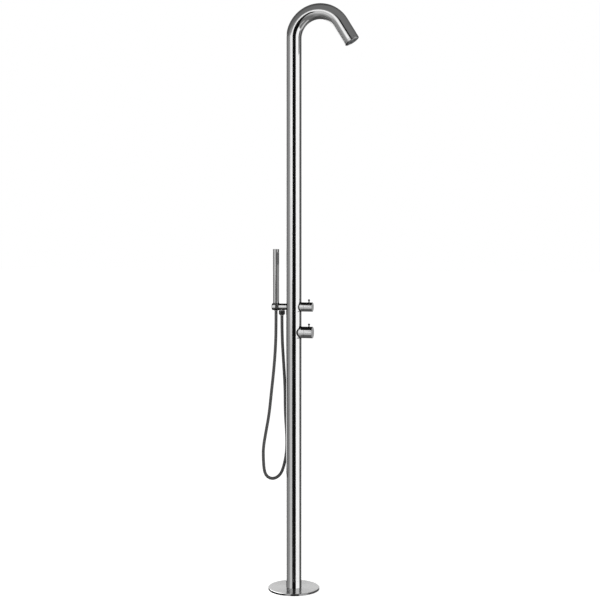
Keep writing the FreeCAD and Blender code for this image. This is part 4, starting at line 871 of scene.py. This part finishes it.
def make_rim_cards(glow):
    """Low strips round the cover's rim, and one over its left side that gives its edge a bright line."""
    ring_card("card_rim_floor", (RIM_NEAR, RIM_LEVEL), (RIM_FAR, RIM_LEVEL), RIM_BANDS, glow)
    ring_card("card_rim_wall", (RIM_FAR, RIM_LEVEL), (RIM_FAR, COVER_TOP), RIM_BANDS, glow)
    start, end = [(radius, RIM_LINE_HEIGHT) for radius in RIM_LINE_RADII]
    ring_card("card_rim_over", start, end, RIM_LINE, glow)


def make_seam_shade_card(name, height, radius, glow):
    """A dark funnel round the place where a knob's collar meets the post, which puts painted shade along that
    seam on both.
    """
    columns = []
    for turn, level in spread([(0.0, DARK), (360.0, DARK)]):
        points = []
        for wider, past in SEAM_SHADE_EDGES:
            side = heading(turn) * (radius + wider)
            across = math.sqrt(POST_RADIUS**2 - side.x**2) + past
            points.append((across, side.x, height + side.y))
        columns.append((points, level))
    grid_card(name, columns, glow)


def make_flags(name, span, height, radius, under, glow):
    """Two small level cards that keep light off the top and the underside of a round piece along X."""
    flags = [
        ("over", 1, OVER_REACH, (DARK, DARK), (3, 2, 1, 0)),
        ("under", -1, UNDER_REACH, under, (0, 1, 2, 3)),
    ]
    left, right = span
    for label, side, reach, (front_level, back_level), face in flags:
        front, back = -reach * radius, radius
        level = height + side * (radius + FLAG_GAP)
        corners = [(left, front, level), (right, front, level), (right, back, level), (left, back, level)]
        levels = [front_level, front_level, back_level, back_level]
        card(f"flag_{label}_{name}", corners, [face], levels, glow)


def make_handset_cards(glow):
    """One beside the handset and one before it."""
    x, front, rear = STICK_CARD_X, STICK_CARD_FRONT, STICK_CARD_REAR
    bottom, top = STICK_CARD_SPAN
    corners = [(x, rear, bottom), (x, front, bottom), (x, front, top), (x, rear, top)]
    card("card_beside_stick", corners, [(0, 1, 2, 3)], [STICK_CARD_LEVEL] * 4, glow)
    left, right = FRONT_CARD_SPAN
    lower, upper = FRONT_CARD_LOWER, FRONT_CARD_UPPER
    corners = [(left, *lower), (right, *lower), (right, *upper), (left, *upper)]
    card("card_before_controls", corners, [(3, 2, 1, 0)], [FRONT_CARD_LEVEL] * 4, glow)


def make_cards():
    glow = card_glow("card_glow")
    wide_card("card_room", ROOM_ELEVATIONS, ROOM_LEVELS, ROOM_DISTANCE, glow)
    for name, elevations, stops in WIDE_CARDS:
        wide_card(name, elevations, stops, CARD_DISTANCE, glow)
    make_foot_card(glow)
    make_rim_cards(glow)
    # Painted shade round each knob's collar where it meets the post
    make_seam_shade_card("card_diverter_seam_shade", DIVERTER_HEIGHT, DIVERTER_RADIUS, glow)
    make_seam_shade_card("card_mixer_seam_shade", MIXER_HEIGHT, MIXER_RADIUS, glow)
    make_flags("diverter_knob", KNOB_SPAN, DIVERTER_HEIGHT, DIVERTER_RADIUS, KNOB_UNDER, glow)
    make_flags("mixer_knob", KNOB_SPAN, MIXER_HEIGHT, MIXER_RADIUS, KNOB_UNDER, glow)
    make_flags("arm", ARM_SPAN, DIVERTER_HEIGHT, ARM_RADIUS, ARM_UNDER, glow)
    make_handset_cards(glow)


def make_studio():
    bpy.context.scene.view_settings.view_transform = "Standard"
    make_camera()
    make_floor()
    make_world()
    make_lamp()
    make_cards()


make_hose()
make_post()
paint_outside()
paint_inside()
make_studio()
